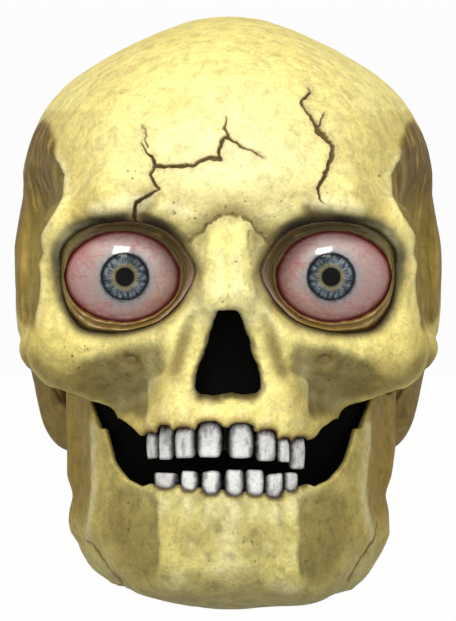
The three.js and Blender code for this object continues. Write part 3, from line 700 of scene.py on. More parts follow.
def gum_line(x, teeth, up, reach):
    """z of the bone's scalloped edge over the teeth; `up` is 1 over the upper row and -1 under the lower."""
    middles = [(left + right) / 2 for left, right, _, _ in teeth]
    gums = [gum for _, _, gum, _ in teeth]
    line = np.interp(x, middles, gums) - up * reach
    for left, right, gum, _ in teeth:
        u = (x - (left + right) / 2) / ((right - left) / 2 + 0.3)
        arch = gum + up * (0.2 - reach * np.abs(u) ** 3)
        line = np.where(np.abs(u) < 1, up * np.maximum(up * line, up * arch), line)
    return line


def keep_cranium(table):
    """Values that are positive where the cranium skin is kept, one per cut."""
    x, y, z = table[:, 0], table[:, 1], table[:, 2]
    ax = np.abs(x)
    far = np.full(len(x), 50.0)
    wobble = 0.5 * noise(table[:, :3], 6, 31) + 0.25 * noise(table[:, :3], 2.2, 32)
    edge = outline_distance(x, z, LOWER_EDGE)
    share = smooth(36, 45, ax)
    scallop = z - gum_line(x, UPPER_TEETH, 1, UPPER_SCALLOP)
    edge = np.where(ax < 45, scallop * (1 - share) + edge * share, edge)
    yield np.where((y < -48) & (z < 125), edge + wobble * 0.5, far)
    yield np.where(z < 130, outline_distance(y, z, UNDER_ARCH), far)
    yield np.where((y > -60) & (z < 125), outline_distance(x, z, NECK), far)
    yield np.maximum.reduce([ax - 89.2, np.abs(z - 89) - 29, np.abs(y + 46) - 22])
    ragged = wobble * (1.5 + 0.7 * (z < 104) + 0.5 * (z > 134))
    yield np.where(y < -100, outline_distance(x, z, NOSE) - 0.2 + ragged, far)
    yield np.where(y < -98, outline_distance(ax, z, ORBIT), far)


def keep_jaw(table):
    """The same for the jaw skin."""
    x, y, z = table[:, 0], table[:, 1], table[:, 2]
    ax = np.abs(x)
    edge = outline_distance(x, z, MOUTH)
    scallop = gum_line(x, LOWER_TEETH, -1, LOWER_SCALLOP) - z
    share = smooth(34, 39, ax)
    edge = np.where(z < 70, scallop * (1 - share) + edge * share, edge)
    yield np.where(ax < 33, scallop, edge)
    yield outline_distance(y, z, BRANCH_TOP)
    yield outline_distance(y, z, REAR_EDGE)
    yield np.where(z < 40, outline_distance(x, y, JAW_NECK), 50.0)


TEMPLE_LINE = [(89, 135.5), (87.5, 144), (86.9, 154.5), (87.5, 161.6), (85.4, 167), (86.5, 175), (85.4, 178),
               (81.3, 185), (77.2, 193), (75.3, 203.7), (77.2, 208.5), (82, 216)]
CHEEK_HOLLOW = [(16, 124), (20, 86), (50, 88), (62, 94), (73, 99), (78, 107), (72, 116), (60, 121), (48, 125),
                (36, 126)]
TEMPLE_SIDE = [(-101, 133), (-98, 150), (-97, 165), (-100, 180), (-98, 196), (-93, 209), (-80, 221),
               (-60, 229), (-36, 231), (-14, 225), (-4, 212), (1, 190), (-4, 160), (-12, 138), (-30, 132),
               (-70, 131)]
CRANIUM_PITS = np.vstack([
    scatter((0, 192), (34, 9), 34, 11), scatter((58, 196), (18, 10), 14, 12),
    scatter((-58, 196), (18, 10), 14, 13), scatter((0, 158), (9, 16), 10, 14),
    scatter((-62, 116), (16, 12), 22, 15), scatter((60, 116), (18, 12), 24, 16),
    scatter((0, 235), (60, 30), 26, 17)])
MASTOID_PITS = scatter((-20, 104), (17, 18), 60, 18)


def temple_masks(x, y, z):
    """How far a point lies outside the temporal line, and the mask of the hollow behind it."""
    ax = np.abs(x)
    line_x = np.interp(z, *np.transpose(TEMPLE_LINE)[::-1])
    line_x = np.where(z > 216, 82 + (z - 216) * 1.6, line_x)
    outside = ax - line_x
    in_height = smooth(129, 133, z) * (1 - smooth(215, 219, z))
    seen = smooth(-0.4, 1.4, outside) * in_height * (1 - smooth(-96, -84, y))
    beside = 1 - smooth(-2.5, 1.5, outline_distance(y, z, TEMPLE_SIDE))
    return outside, np.maximum(seen, beside * (ax > 60))


def cheek_mask(points):
    """The sunken part of the cheek: a crisp edge towards the nose, soft ones elsewhere."""
    x, _, z = points.T
    high = smooth(105, 112, z)
    inner_edge = smooth(37.4 - 10 * high, 39.6 - 4 * high, np.abs(x))
    return (1 - smooth(-8, 2.0, outline_distance(np.abs(x), z, CHEEK_HOLLOW))) * inner_edge


def jaw_recess_mask(points):
    x, _, z = points.T
    return (1 - smooth(-9, 2.5, outline_distance(np.abs(x), z, JAW_RECESS))) * smooth(32.6, 36.6, np.abs(x))


FRONT_Y = -60


def facing_front(normals):
    """1 where the skin faces the camera, fading to 0 at its sides."""
    return smooth(0.15, 0.5, -normals[:, 1])


def sculpt_cranium(points, normals):
    """Movement along the normals, in millimetres, that turns the plain form into carved bone."""
    x, y, z = points.T
    ax = np.abs(x)
    front = facing_front(normals) * (y < FRONT_Y)
    rise = 0.55 * layered(points, 26, 41) + 0.16 * layered(points, 7, 45, 3)
    outside, hollow = temple_masks(x, y, z)
    in_reach = smooth(132, 138, z) * (1 - smooth(211, 219, z)) * (y < -30)
    step = smooth(0.2, 2.6, outside) * (1 - smooth(6, 16, outside))
    rise += in_reach * (0.8 * bell(outside, 1.8) - 1.7 * step)
    rise += hollow * 0.35 * layered(points * (1, 1, 0.22), 3.4, 50, 3)
    rise -= front * 1.9 * cheek_mask(points)
    pit = np.hypot((ax - 46) / 5.6, (z - 115) / 5.0)
    rise -= front * 1.7 * (1 - smooth(0.25, 1.0, pit))
    away = path_away(ax, z, [(17.5, 135), (21, 124), (25.5, 112)])
    rise -= front * 1.7 * bell(away, 3.6)
    away = path_away(ax, z, [(70, 120.6), (62, 121.6), (55, 124.7)])
    rise -= front * 0.7 * (1 - smooth(0.2, 1.1, away + 0.6 * noise(points, 2, 60)))
    away = path_away(ax, z, [(14, 184), (30, 189.5), (48, 191), (62, 188)])
    rise += front * 1.2 * bell(away, 4.0)
    away = path_away(ax, z, [(31, 193), (39, 184)])
    rise -= front * 1.3 * (1 - smooth(0.6, 2.6, away))
    away, jag, above = seam_masks(x, z, points)
    rise -= front * (0.7 * (1 - smooth(0.0, 0.8, jag)) + 1.1 * bell(away, 5) * above)
    away = path_away(ax, z, [(10.4, 177), (11.5, 165), (13, 152), (14.5, 143)])
    rise -= front * 0.45 * (1 - smooth(0.2, 1.4, away + 0.4 * noise(points, 2, 62)))
    rise += front * 0.9 * bell(ax - 3.4, 5) * smooth(142, 148, z) * (1 - smooth(166, 178, z))
    for left, right, gum, _ in UPPER_TEETH:
        centre = (left + right) / 2
        root = bell(x - centre, (right - left) * 0.36)
        rise += front * 1.0 * root * smooth(gum - 2, gum + 2, z) * (1 - smooth(gum + 5, gum + 17, z))
    gum = z - gum_line(x, UPPER_TEETH, 1, UPPER_SCALLOP)
    rise -= front * 1.4 * (1 - smooth(0.0, 3.6, gum)) * (ax < 41) * (z < 96)
    groove, halo = crack_masks(x, z, points)
    groove, halo = groove * (z > 180) * front, halo * (z > 180) * front
    rise += 0.45 * halo - 2.1 * groove
    rise -= 0.75 * front * pit_depth(x, z, CRANIUM_PITS)
    rise -= 0.8 * (np.abs(normals[:, 0]) > 0.4) * (ax > 60) * pit_depth(y, z, MASTOID_PITS)
    return rise


def bone_tones(paint, points, normals):
    """Broad yellow patches, darker below; painted light on the forehead, painted shade at the sides, a painted
    highlight on the nose bridge.
    """
    x, y, z = points.T
    ax = np.abs(x)
    front = facing_front(normals) * (y < FRONT_Y)
    # painted light: a pale pool on the middle of the forehead
    paint = over(paint, "#fbf4bc", 0.8 * bell(x, 50) * bell(z - 213, 30) * (y < -40))
    patches = smooth(-0.1, 0.6, layered(points, 30, 70))
    paint = over(paint, "#eadb82", 0.5 * patches)
    paint = over(paint, "#efe083", 0.6 * smooth(250, 278, z))
    paint = over(paint, "#d9c46c", 0.5 * smooth(0.25, 0.75, layered(points, 9, 74)) * smooth(200, 262, z))
    blotch = smooth(0.3, 0.8, layered(points, 5, 78, 3))
    paint = over(paint, "#c8ad5c", 0.35 * blotch)
    lower = 1 - smooth(140, 190, z)
    paint = over(paint, "#d2c27a", 0.55 * lower * smooth(-0.3, 0.5, layered(points, 12, 72)) * (y < -60))
    # painted shade where the skin turns to the sides
    turn = smooth(0.25, 0.8, np.abs(normals[:, 0])) * (y < -60) * (1 - smooth(180, 205, z))
    paint = over(paint, "#c3ad5c", 0.45 * turn)
    away = path_away(ax, z, [(0, 190), (22, 193), (45, 196)])
    paint = over(paint, "#c9bd80", 0.6 * front * bell(away, 8))
    # painted highlight down the ridge of the nose bridge
    paint = over(paint, "#f4eb92", 0.8 * front * bell(x, 8) * smooth(138, 146, z) * (1 - smooth(170, 180, z)))
    return paint


def seam_tones(paint, points, normals):
    """The brow seam, its painted shadow, and painted shade down the flanks of the nose bone."""
    x, y, z = points.T
    ax = np.abs(x)
    front = facing_front(normals) * (y < FRONT_Y)
    away, jag, above = seam_masks(x, z, points)
    # painted shadow above the seam, fainter painted shade just below it
    paint = over(paint, "#8f8152", 0.8 * front * bell(away, 6.5) * above)
    paint = over(paint, "#b8ac72", 0.5 * front * bell(away, 3.0) * (1 - above))
    broken = 0.35 + 0.65 * smooth(-0.3, 0.3, noise(points, 7, 63))
    paint = over(paint, "#3d3116", 0.85 * broken * front * (1 - smooth(0.0, 0.7, jag)))
    # painted shade down the flanks of the nose bone, deeper on the wearer's left
    flank = path_away(ax, z, [(12.5, 176), (13.0, 166), (15, 154), (18, 146)])
    paint = over(paint, "#8c8050", (0.55 + 0.25 * (x > 0)) * front * bell(flank, 3.6))
    flank = path_away(x, z, [(9.6, 177), (9.2, 170), (10.6, 162)])
    paint = over(paint, "#544a28", 0.6 * front * (1 - smooth(0.1, 0.9, flank + 0.8 * noise(points, 2, 64))))
    return paint


def temple_tones(paint, points, normals):
    """The streaked hollow of the temple in painted shade, a painted highlight on its lip, painted shade on
    skin turned to the side, and the shaded skin behind and under the cheek arch.
    """
    x, y, z = points.T
    ax = np.abs(x)
    # painted shade on skin turned to the side
    side = smooth(0.55, 0.95, np.abs(normals[:, 0])) * (z < 235)
    paint = over(paint, "#c2ab58", 0.55 * side)
    outside, hollow = temple_masks(x, y, z)
    streak = layered(points * (1, 1, 0.16), 3.2, 50, 4)
    deep = smooth(176, 206, z)
    # painted shade in the temple hollow, deepest towards its top; the streaks after it are the paint's own
    paint = over(paint, "#957a2b", 0.9 * hollow)
    paint = over(paint, "#6f5721", 0.85 * hollow * deep)
    paint = over(paint, "#cdb562", 0.65 * hollow * smooth(0.0, 0.6, streak))
    paint = over(paint, "#6b5524", 0.6 * hollow * smooth(0.1, 0.7, -streak))
    # painted highlight along the lip of the temple hollow
    lip = path_away(ax, z, TEMPLE_LINE)
    paint = over(paint, "#f4eba6", 0.5 * bell(outside + 1.2, 1.2) * (lip < 4) * (y < -60) * (1 - hollow))
    under = (1 - smooth(112, 124, z)) * smooth(-96, -60, y)
    paint = over(paint, "#7f6831", 0.9 * under)
    paint = over(paint, "#5b4722", 0.6 * under * smooth(0.1, 0.7, layered(points, 6, 82)))
    arch = smooth(60, 78, ax) * smooth(110, 116, z) * (1 - smooth(128, 134, z))
    paint = over(paint, "#dccb70", 0.5 * arch * (1 - under))
    return paint


def cheek_tones(paint, points, normals):
    """The sunken cheeks in painted shade with their own mottling, painted shade in the groove by the nose,
    along the lower edge and on the knob of the cheek arch, and the pit under the eye in painted shade with a
    painted shadow across its top.
    """
    x, y, z = points.T
    ax = np.abs(x)
    front = facing_front(normals) * (y < FRONT_Y)
    # painted shade round and in the sunken cheek; the light and dark mottling after it is the paint's own
    fade = cheek_mask(points + 2.5 * noise(points, 8, 84)[:, None])
    around = bell(ax - 47, 17) * bell(z - 106, 13)
    paint = over(paint, "#8a7f4c", 0.6 * front * around * smooth(27, 33, ax))
    paint = over(paint, "#665d32", 0.88 * front * fade)
    paint = over(paint, "#b3aa70", 0.6 * front * fade * smooth(0.0, 0.6, layered(points, 5, 86)))
    paint = over(paint, "#544a2a", 0.6 * front * fade * smooth(0.05, 0.6, -layered(points, 4, 88)))
    # painted shade along the cheek hollow's crisp inner edge
    crisp = smooth(37.4, 39.6, ax) * (1 - smooth(41, 47, ax)) * smooth(86, 92, z) * (1 - smooth(103, 109, z))
    paint = over(paint, "#6b6440", 0.55 * front * crisp)
    # painted shade along the lower edge at the sides
    low = (1 - smooth(3, 12, outline_distance(x, z, LOWER_EDGE))) * smooth(52, 62, ax)
    paint = over(paint, "#86743e", 0.8 * front * low)
    # painted shade in the groove beside the nose, deeper lower down
    away = path_away(ax, z, [(17.5, 136), (21, 124), (25.8, 111)])
    paint = over(paint, "#8d7a42", 0.85 * front * bell(away, 3.6) * (0.45 + 0.55 * smooth(136, 118, z)))
    # painted shade in the pit under the eye, and a painted shadow across its upper part
    pit = np.hypot((ax - 46) / 5.6, (z - 115) / 5.0) + 0.22 * noise(points, 3, 89)
    paint = over(paint, "#8a8050", 0.8 * (1 - smooth(0.6, 1.3, pit)))
    crescent = (1 - smooth(0.65, 1.0, pit)) * smooth(-0.5, 0.45, (z - 115) / 5 - (ax - 46) / 12)
    paint = over(paint, "#332a13", 0.9 * crescent)
    # painted shade on the knob of the cheek arch, where it turns to the side
    knob = bell(ax - 75, 9) * bell(z - 112, 8)
    paint = over(paint, "#a08c48", 0.65 * front * knob)
    return paint


def opening_tones(paint, points, normals):
    """Painted shade and shadow round the orbits, darkest under the brow, dark edges round the nose hole, and
    brown ones over the upper teeth.
    """
    x, y, z = points.T
    ax = np.abs(x)
    front = facing_front(normals) * (y < FRONT_Y)
    ring = outline_distance(ax, z, ORBIT)
    # painted shade and shadow round the orbit, darkest in a band under the brow
    upper = smooth(150, 174, z + 0.3 * (ax - 48)) * (y < -92)
    paint = over(paint, "#6b5a2c", 0.85 * (1 - smooth(0.5, 8.0, ring)) * upper)
    paint = over(paint, "#7b6b35", 0.65 * front * (1 - smooth(0.2, 4.5, ring)))
    paint = over(paint, "#2a210f", 0.7 * front * (1 - smooth(0.0, 1.6, ring)))
    paint = over(paint, "#171108", 0.96 * (1 - smooth(0.8, 4.4, ring)) * upper * smooth(16, 30, ax))
    nose = outline_distance(x, z, NOSE)
    paint = over(paint, "#5a4820",
                 0.85 * front * (1 - smooth(0.2, 2.4, nose + 1.2 * noise(points, 3, 90))) * (z < 150))
    gum = z - gum_line(x, UPPER_TEETH, 1, UPPER_SCALLOP)
    paint = over(paint, "#5a3a18", 0.9 * front * (1 - smooth(-0.4, 1.6, gum)) * (ax < 42) * (z < 96))
    paint = over(paint, "#a8813c", 0.4 * front * (1 - smooth(0.5, 4.5, gum)) * (ax < 42) * (z < 96))
    return paint


def crack_pit_and_painted_light_tones(paint, points, normals):
    """Painted shade in the hollows, painted highlights on the ridges, the cracks with painted shade round
    them, painted shadow in the notches at the orbits' tops, and the pits darkened.
    """
    x, y, z = points.T
    ax = np.abs(x)
    front = facing_front(normals) * (y < FRONT_Y)
    # painted shade in the hollows, by how closed-in each point is
    closed = occlusion(CRANIUM_FORM, points, normals)
    paint = over(paint, "#5d4d24", 0.9 * smooth(0.10, 0.75, closed))
    # painted highlights on the convex ridges
    ridge = np.clip(1 + form_distance(CRANIUM_FORM, points - normals * 9) / 9, 0, 1)
    paint = over(paint, "#fbf4b8", 0.5 * front * smooth(0.08, 0.5, ridge))
    groove, halo = crack_masks(x, z, points)
    groove, halo = groove * (z > 180) * front, halo * (z > 180) * front
    # painted shade in a soft halo round the cracks
    paint = over(paint, "#cbb98a", 0.7 * halo)
    paint = over(paint, "#5e4722", 0.95 * smooth(0.1, 0.6, groove))
    paint = over(paint, "#2e1e0c", 0.8 * smooth(0.6, 1.0, groove))
    # painted shadow in the notches where the cracks meet the orbits' tops
    away = path_away(x, z, [(-38, 193), (-42, 189), (-44, 182)])
    paint = over(paint, "#5b4822", 0.75 * (y < -90) * bell(away, 4.4))
    away = path_away(x, z, [(38, 189), (42, 187), (47, 188)])
    paint = over(paint, "#4b3b1a", 0.75 * (y < -90) * bell(away, 3.2))
    pits = front * pit_depth(x, z, CRANIUM_PITS) + (ax > 60) * (1 - front) * pit_depth(y, z, MASTOID_PITS)
    paint = over(paint, "#5b471d", 0.9 * pits)
    return paint


def paint_cranium(points, normals):
    paint = flat_paint(len(points), "#fbee98")
    for tones in (bone_tones, seam_tones, temple_tones, cheek_tones, opening_tones, crack_pit_and_painted_light_tones):
        paint = tones(paint, points, normals)
    return paint


JAW_RECESS = [(20, 52), (20, 14), (44, 11), (56, 15), (62, 28), (62.5, 44), (59, 56), (48, 59), (34, 56)]
JAW_PITS = np.vstack([
    scatter((-48, 34), (16, 18), 34, 21), scatter((48, 34), (16, 18), 34, 22),
    scatter((0, 22), (30, 14), 26, 23)])
JAW_SEAMS = [[(-68.7, 31.5), (-62, 23), (-48.1, 8.7)], [(71.6, 39.4), (66, 28), (55.8, 15.3)]]


def sculpt_jaw(points, normals):
    """The same for the jaw: sunken cheeks, the branch's ridge, the chin, the tooth roots and the seams."""
    x, _, z = points.T
    ax = np.abs(x)
    front = facing_front(normals)
    rise = 0.5 * layered(points, 24, 91) + 0.15 * layered(points, 6, 95, 3)
    rise -= front * 2.2 * jaw_recess_mask(points)
    away = path_away(ax, z, [(64.6, 86), (63.9, 70), (63.6, 56), (65.3, 45), (68.7, 31.5)])
    rise += 1.1 * bell(away, 2.2)
    rise -= 1.0 * (1 - smooth(0, 6, np.abs(ax - 70))) * smooth(36, 48, z) * front
    rise += front * 1.2 * bell(x, 13) * bell(z - 19, 10)
    rise += front * 1.0 * bell(ax - 24, 9) * bell(z - 12, 7)
    rise -= front * 1.2 * bell(ax - 13, 8) * bell(z - 34, 8)
    for left, right, gum, _ in LOWER_TEETH:
        centre = (left + right) / 2
        root = bell(x - centre, (right - left) * 0.34)
        rise += front * 1.0 * root * (1 - smooth(gum - 1, gum + 2, z)) * smooth(gum - 17, gum - 4, z)
    for path in JAW_SEAMS:
        away = path_away(x, z, path)
        rise -= 0.6 * (1 - smooth(0.1, 1.0, away + 0.5 * noise(points, 3, 96)))
    lip = gum_line(x, LOWER_TEETH, -1, LOWER_SCALLOP) - z
    rise -= front * 1.2 * (1 - smooth(0.0, 3.4, lip)) * (ax < 38)
    rise -= 0.7 * front * pit_depth(x, z, JAW_PITS)
    return rise


def paint_jaw(points, normals):
    """The jaw's yellow with a greener recess, brown branches, seams and pits; painted shade in the recess,
    dips and hollows, on the sides and underneath; painted highlights on the tooth roots, chin, branch crests
    and lower rim.
    """
    x, y, z = points.T
    ax = np.abs(x)
    front = facing_front(normals)
    paint = flat_paint(len(x), "#e0d480")
    paint = over(paint, "#bdb470", 0.6 * smooth(-0.1, 0.6, layered(points, 22, 100)))
    # painted highlights on the tooth roots and along a band under the teeth
    arcs = np.zeros(len(x))
    for left, right, gum, _ in LOWER_TEETH:
        away = np.hypot((x - (left + right) / 2) / 5.5, (z - gum + 8) / 6.5)
        arcs = np.maximum(arcs, 1 - smooth(0.3, 1.2, away))
    paint = over(paint, "#f3edaa", 0.8 * front * np.maximum(arcs, 0.6 * smooth(44, 50, z) * (ax < 44)))
    # painted light on the jaw's lower corners and along its bottom rim
    paint = over(paint, "#f8ee9c", 0.85 * (y < -50) * smooth(50, 60, ax) * (1 - smooth(22, 38, z)))
    paint = over(paint, "#f2e8a0", 0.8 * (1 - smooth(4, 16, z)))
    # painted highlight up the middle of the chin
    paint = over(paint, "#efe8b2", 0.55 * front * bell(x, 5) * smooth(20, 28, z))
    paint = over(paint, "#b09a55", 0.35 * smooth(0.2, 0.8, layered(points, 6, 104)))
    # painted shade in the jaw's recess
    fade = jaw_recess_mask(points + 2.5 * noise(points, 7, 106)[:, None])
    paint = over(paint, "#9a9250", 0.88 * front * fade * (1 - 0.55 * smooth(36, 52, z)))
    # painted shade in the dips beside the chin
    mid = bell(ax - 18, 11) * bell(z - 31, 8)
    paint = over(paint, "#a39a62", 0.65 * front * mid)
    mottle = smooth(0.05, 0.6, -layered(points, 5, 107)) * front * (ax < 62)
    paint = over(paint, "#8c8452", 0.5 * mottle)
    paint = over(paint, "#f2eab0",
                 0.45 * front * smooth(0.15, 0.7, layered(points, 6, 109)) * (ax < 62) * (1 - fade))
    branch = smooth(64, 67, ax) * smooth(36, 48, z)
    branch = branch * smooth(24, 38, z + 0.6 * (ax - 72))
    streak = layered(points * (1, 1, 0.14), 3.4, 108, 4)
    paint = over(paint, "#8f7529", 0.95 * branch)
    paint = over(paint, "#bba450", 0.5 * branch * smooth(0.0, 0.6, streak))
    paint = over(paint, "#6a5526", 0.55 * branch * smooth(0.1, 0.7, -streak))
    # painted highlight along the crest of the jaw branch
    away = path_away(ax, z, [(64.0, 86), (63.4, 70), (63.2, 56), (64.8, 45), (68.2, 31.5)])
    paint = over(paint, "#eee6a4", 0.75 * bell(away, 1.8) * (y < -40))
    # painted shade where the jaw turns to the sides
    side = smooth(0.6, 0.95, np.abs(normals[:, 0]))
    paint = over(paint, "#a89049", 0.6 * side)
    # painted shade where the jaw faces down
    under = smooth(0.3, 0.9, -normals[:, 2])
    paint = over(paint, "#8a7a44", 0.6 * under)
    lip = gum_line(x, LOWER_TEETH, -1, LOWER_SCALLOP) - z
    paint = over(paint, "#5a4320", 0.85 * front * (1 - smooth(-0.3, 1.5, lip)) * (ax < 38))
    for path in JAW_SEAMS:
        away = path_away(x, z, path)
        paint = over(paint, "#6b5526", 0.8 * (1 - smooth(0.1, 1.0, away + 0.5 * noise(points, 3, 96))))
    # painted shade in the hollows, by how closed-in each point is
    closed = occlusion(JAW_FORM, points, normals)
    paint = over(paint, "#5d4d24", 0.8 * smooth(0.12, 0.75, closed))
    paint = over(paint, "#5b471d", 0.8 * front * pit_depth(x, z, JAW_PITS))
    return paint


INNER_PAINT = "#85734a"


SHELL_SQUEEZE = 0.74


def build_shell(name, form, centre, rings, spokes, keep, detail, sculpt, paint, settle, material, body,
                node):
    """A latex skin: walked in from all round, trimmed, carved and painted, then closed to its wall.

    `keep` gives the trims, and `detail` the area to refine and the edge lengths to refine it to.
    """
    table, faces = polar_skin(form, centre, rings, spokes, SHELL_SQUEEZE)
    cuts = len(list(keep(table[:1])))
    for i in range(cuts):
        table, faces = clip(table, faces, list(keep(table))[i])
    table, faces = largest_piece(table, faces)
    for longest in detail[1]:
        table, faces = refine(table, faces, detail[0](table), longest)
    outer, inner = table[:, :3], table[:, 3:]
    normals = vertex_normals(outer, faces)
    rise = sculpt(outer, normals)
    painted = paint(outer, normals)
    # painted shade where the carving sinks, and a painted highlight where it rises facing the front
    painted = over(painted, "#8b7c48", 0.5 * smooth(0.3, 1.8, -rise))
    painted = over(painted, "#fdf7c8", 0.45 * smooth(0.3, 1.5, rise) * smooth(0.0, 0.5, -normals[:, 1]))
    outer = settle(outer + normals * rise[:, None])
    inner = settle(inner)
    points, all_faces, source = thick_shell(outer, inner, faces)
    colours = painted[source]
    is_inner = np.zeros(len(points), bool)
    is_inner[len(outer):2 * len(outer)] = True
    colours[is_inner] = colour(INNER_PAINT)
    rim_start = 2 * len(outer)
    colours[rim_start:] = colours[rim_start:] * 0.55
    make_object(name, points, all_faces, material, body, colours, node=node)


def settle_cranium(points):
    """Small changes of width by height."""
    factor = np.interp(points[:, 2], [104, 115, 130, 149, 172, 195, 206, 229, 240, 252, 263, 274, 280],
                       [1.0, 1.0, 1.02, 1.008, 1.012, 1.0, 1.012, 1.016, 1.018, 1.014, 0.98, 0.9, 0.9])
    lift = 1.5 * smooth(252, 279, points[:, 2]) * bell(points[:, 0], 48)
    return np.stack([points[:, 0] * factor, points[:, 1], points[:, 2] + lift], 1)


def settle_jaw(points):
    """Small changes of width by height, and a flatter lower border."""
    x, y, z = points.T
    levels = [0, 7, 13, 18, 24, 30, 35, 40, 60, 75]
    left = np.interp(z, levels, [1.16, 1.12, 1.03, 1.0, 0.985, 0.99, 1.0, 0.99, 1, 1.02])
    right = np.interp(z, levels, [1.0, 1.05, 0.97, 0.975, 0.965, 0.95, 0.975, 0.985, 0.985, 0.985])
    drop = (3.6 * smooth(12, 40, x) + 0.8 * smooth(10, 45, -x)) * (1 - smooth(18, 44, z))
    factor = np.where(x > 0, left, right)
    return np.stack([x * factor, y, z - drop], 1)


def build_web(side_name, side):
    """The latex web behind the jaw branch that closes the shell inside the mastoid."""
    z = np.linspace(81, 119, 34)
    y = np.interp(z, [81, 98, 106, 110, 119], [-25.0, -25.0, -26.2, -30.0, -36.0])
    start = np.stack([np.full(len(z), 160.0), y, z], 1)
    outer = walk_in(CRANIUM_FORM, start, np.tile([-1.0, 0, 0], (len(z), 1)), 1.2)[:, 0]
    rows = []
    for u in np.linspace(0, 1, 28):
        x = 66 + u * np.maximum(outer - 66, 1)
        set_back = 3.2 * (1 - smooth(76, 80, x))
        ripple = 0.25 * np.sin(z * 0.5 + u * 5) - 0.6 * np.sin(u * math.pi)
        rows.append(np.stack([side * x, y + set_back + ripple, z], 1))
    points, faces = closed_sheet(rows, 1.6)
    # the shaded brown of the skin under the cheek arch, with painted shade darkening it towards the inside
    paint = flat_paint(len(points), "#7f6831")
    paint = over(paint, "#5b4722", 0.6 * smooth(0.0, 0.7, layered(points, 6, 82)))
    paint = over(paint, "#3a2d14", 0.8 * (1 - smooth(70, 77, np.abs(points[:, 0]))))
    make_object(f"mastoid_web_{side_name}", points, faces, bone, "cranium", paint)


def crack_area(table):
    """Where the cranium's mesh needs to be fine: at the cracks, the brow seam and the pits."""
    x, y, z = table[:, 0], table[:, 1], table[:, 2]
    near = np.zeros(len(x), bool)
    for _, _, path in CRACKS:
        near |= path_away(x, z, path) < 3.2
    near &= (z > 178) & (y < -60)
    near |= (path_away(x, z, SEAM) < 3.0) & (y < -100)
    front = y < -80
    for u, v, _ in CRANIUM_PITS:
        near |= front & (np.hypot(x - u, z - v) < 1.9)
    for u, v, _ in MASTOID_PITS:
        near |= (np.abs(x) > 60) & (np.hypot(y - u, z - v) < 1.9)
    return near


def jaw_area(table):
    """Where the jaw's mesh needs to be fine: at its pits and seams."""
    x, y, z = table[:, 0], table[:, 1], table[:, 2]
    near = np.zeros(len(x), bool)
    for u, v, _ in JAW_PITS:
        near |= (y < -60) & (np.hypot(x - u, z - v) < 1.9)
    for path in JAW_SEAMS:
        near |= path_away(x, z, path) < 2.0
    return near


# ---------------------------------------------------------------- materials

class Finish:
    """A node material. Each call adds one node and returns its output socket."""

    def __init__(self, name):
        self.material = bpy.data.materials.new(name)
        self.material.use_nodes = True
        self.tree = self.material.node_tree
        self.shader = self.tree.nodes["Principled BSDF"]
        self.place = self.add("TexCoord", out="Object")

    def add(self, kind, inputs=None, out=0, **settings):
        node = self.tree.nodes.new("ShaderNode" + kind)
        for key, value in settings.items():
            setattr(node, key, value)
        for key, value in (inputs or {}).items():
            self.feed(node.inputs[key], value)
        return node.outputs[out]

    def feed(self, socket, value):
        """Links another node's output to the socket, or sets the socket's own value."""
        if isinstance(value, bpy.types.NodeSocket):
            self.tree.links.new(value, socket)
        else:
            socket.default_value = value

    def noise(self, size, detail=4, rough=0.55, stretch=(1, 1, 1), warp=0.0):
        """Noise from 0 to 1 with features about `size` millimetres across."""
        place = self.add("Mapping", {"Vector": self.place, "Scale": stretch})
        return self.add("TexNoise", {"Vector": place, "Scale": 1000 / size, "Detail": detail,
                                     "Roughness": rough, "Distortion": warp})

    def cells(self, size, feature="F1", out="Distance"):
        return self.add("TexVoronoi", {"Vector": self.place, "Scale": 1000 / size}, out=out, feature=feature)

    def bands(self, size, direction, warp=0.0):
        inputs = {"Vector": self.place, "Scale": 1000 / size / 6.2832 * 2, "Distortion": warp}
        return self.add("TexWave", inputs, out="Fac", bands_direction=direction)

    def ramp(self, factor, stops):
        node = self.tree.nodes.new("ShaderNodeValToRGB")
        self.tree.links.new(factor, node.inputs["Fac"])
        while len(node.color_ramp.elements) < len(stops):
            node.color_ramp.elements.new(0.5)
        for element, (position, value) in zip(node.color_ramp.elements, stops):
            element.position = position
            shade = colour(value) if isinstance(value, str) else (value,) * 3
            element.color = (*shade, 1)
        return node.outputs["Color"]

    def mix(self, factor, a, b, kind="MIX"):
        node = self.tree.nodes.new("ShaderNodeMix")
        node.data_type = "RGBA"
        node.blend_type = kind
        for socket, value in ((node.inputs[0], factor), (node.inputs[6], a), (node.inputs[7], b)):
            self.feed(socket, (*colour(value), 1) if isinstance(value, str) else value)
        return node.outputs[2]

    def maths(self, kind, a, b=0.5):
        node = self.tree.nodes.new("ShaderNodeMath")
        node.operation = kind
        for socket, value in zip(node.inputs, (a, b)):
            self.feed(socket, value)
        return node.outputs[0]

    def bump(self, height, depth, normal=None):
        """Bump whose full height is `depth` millimetres."""
        inputs = {"Height": height, "Strength": 1.0, "Distance": depth / 1000}
        if normal is not None:
            inputs["Normal"] = normal
        return self.add("Bump", inputs)

    def finish(self, base=None, normal=None, roughness=None, **constants):
        for socket, value in (("Base Color", base), ("Normal", normal), ("Roughness", roughness)):
            if value is not None:
                self.feed(self.shader.inputs[socket], value)
        for key, value in constants.items():
            self.shader.inputs[key.replace("_", " ")].default_value = value
        return self.material


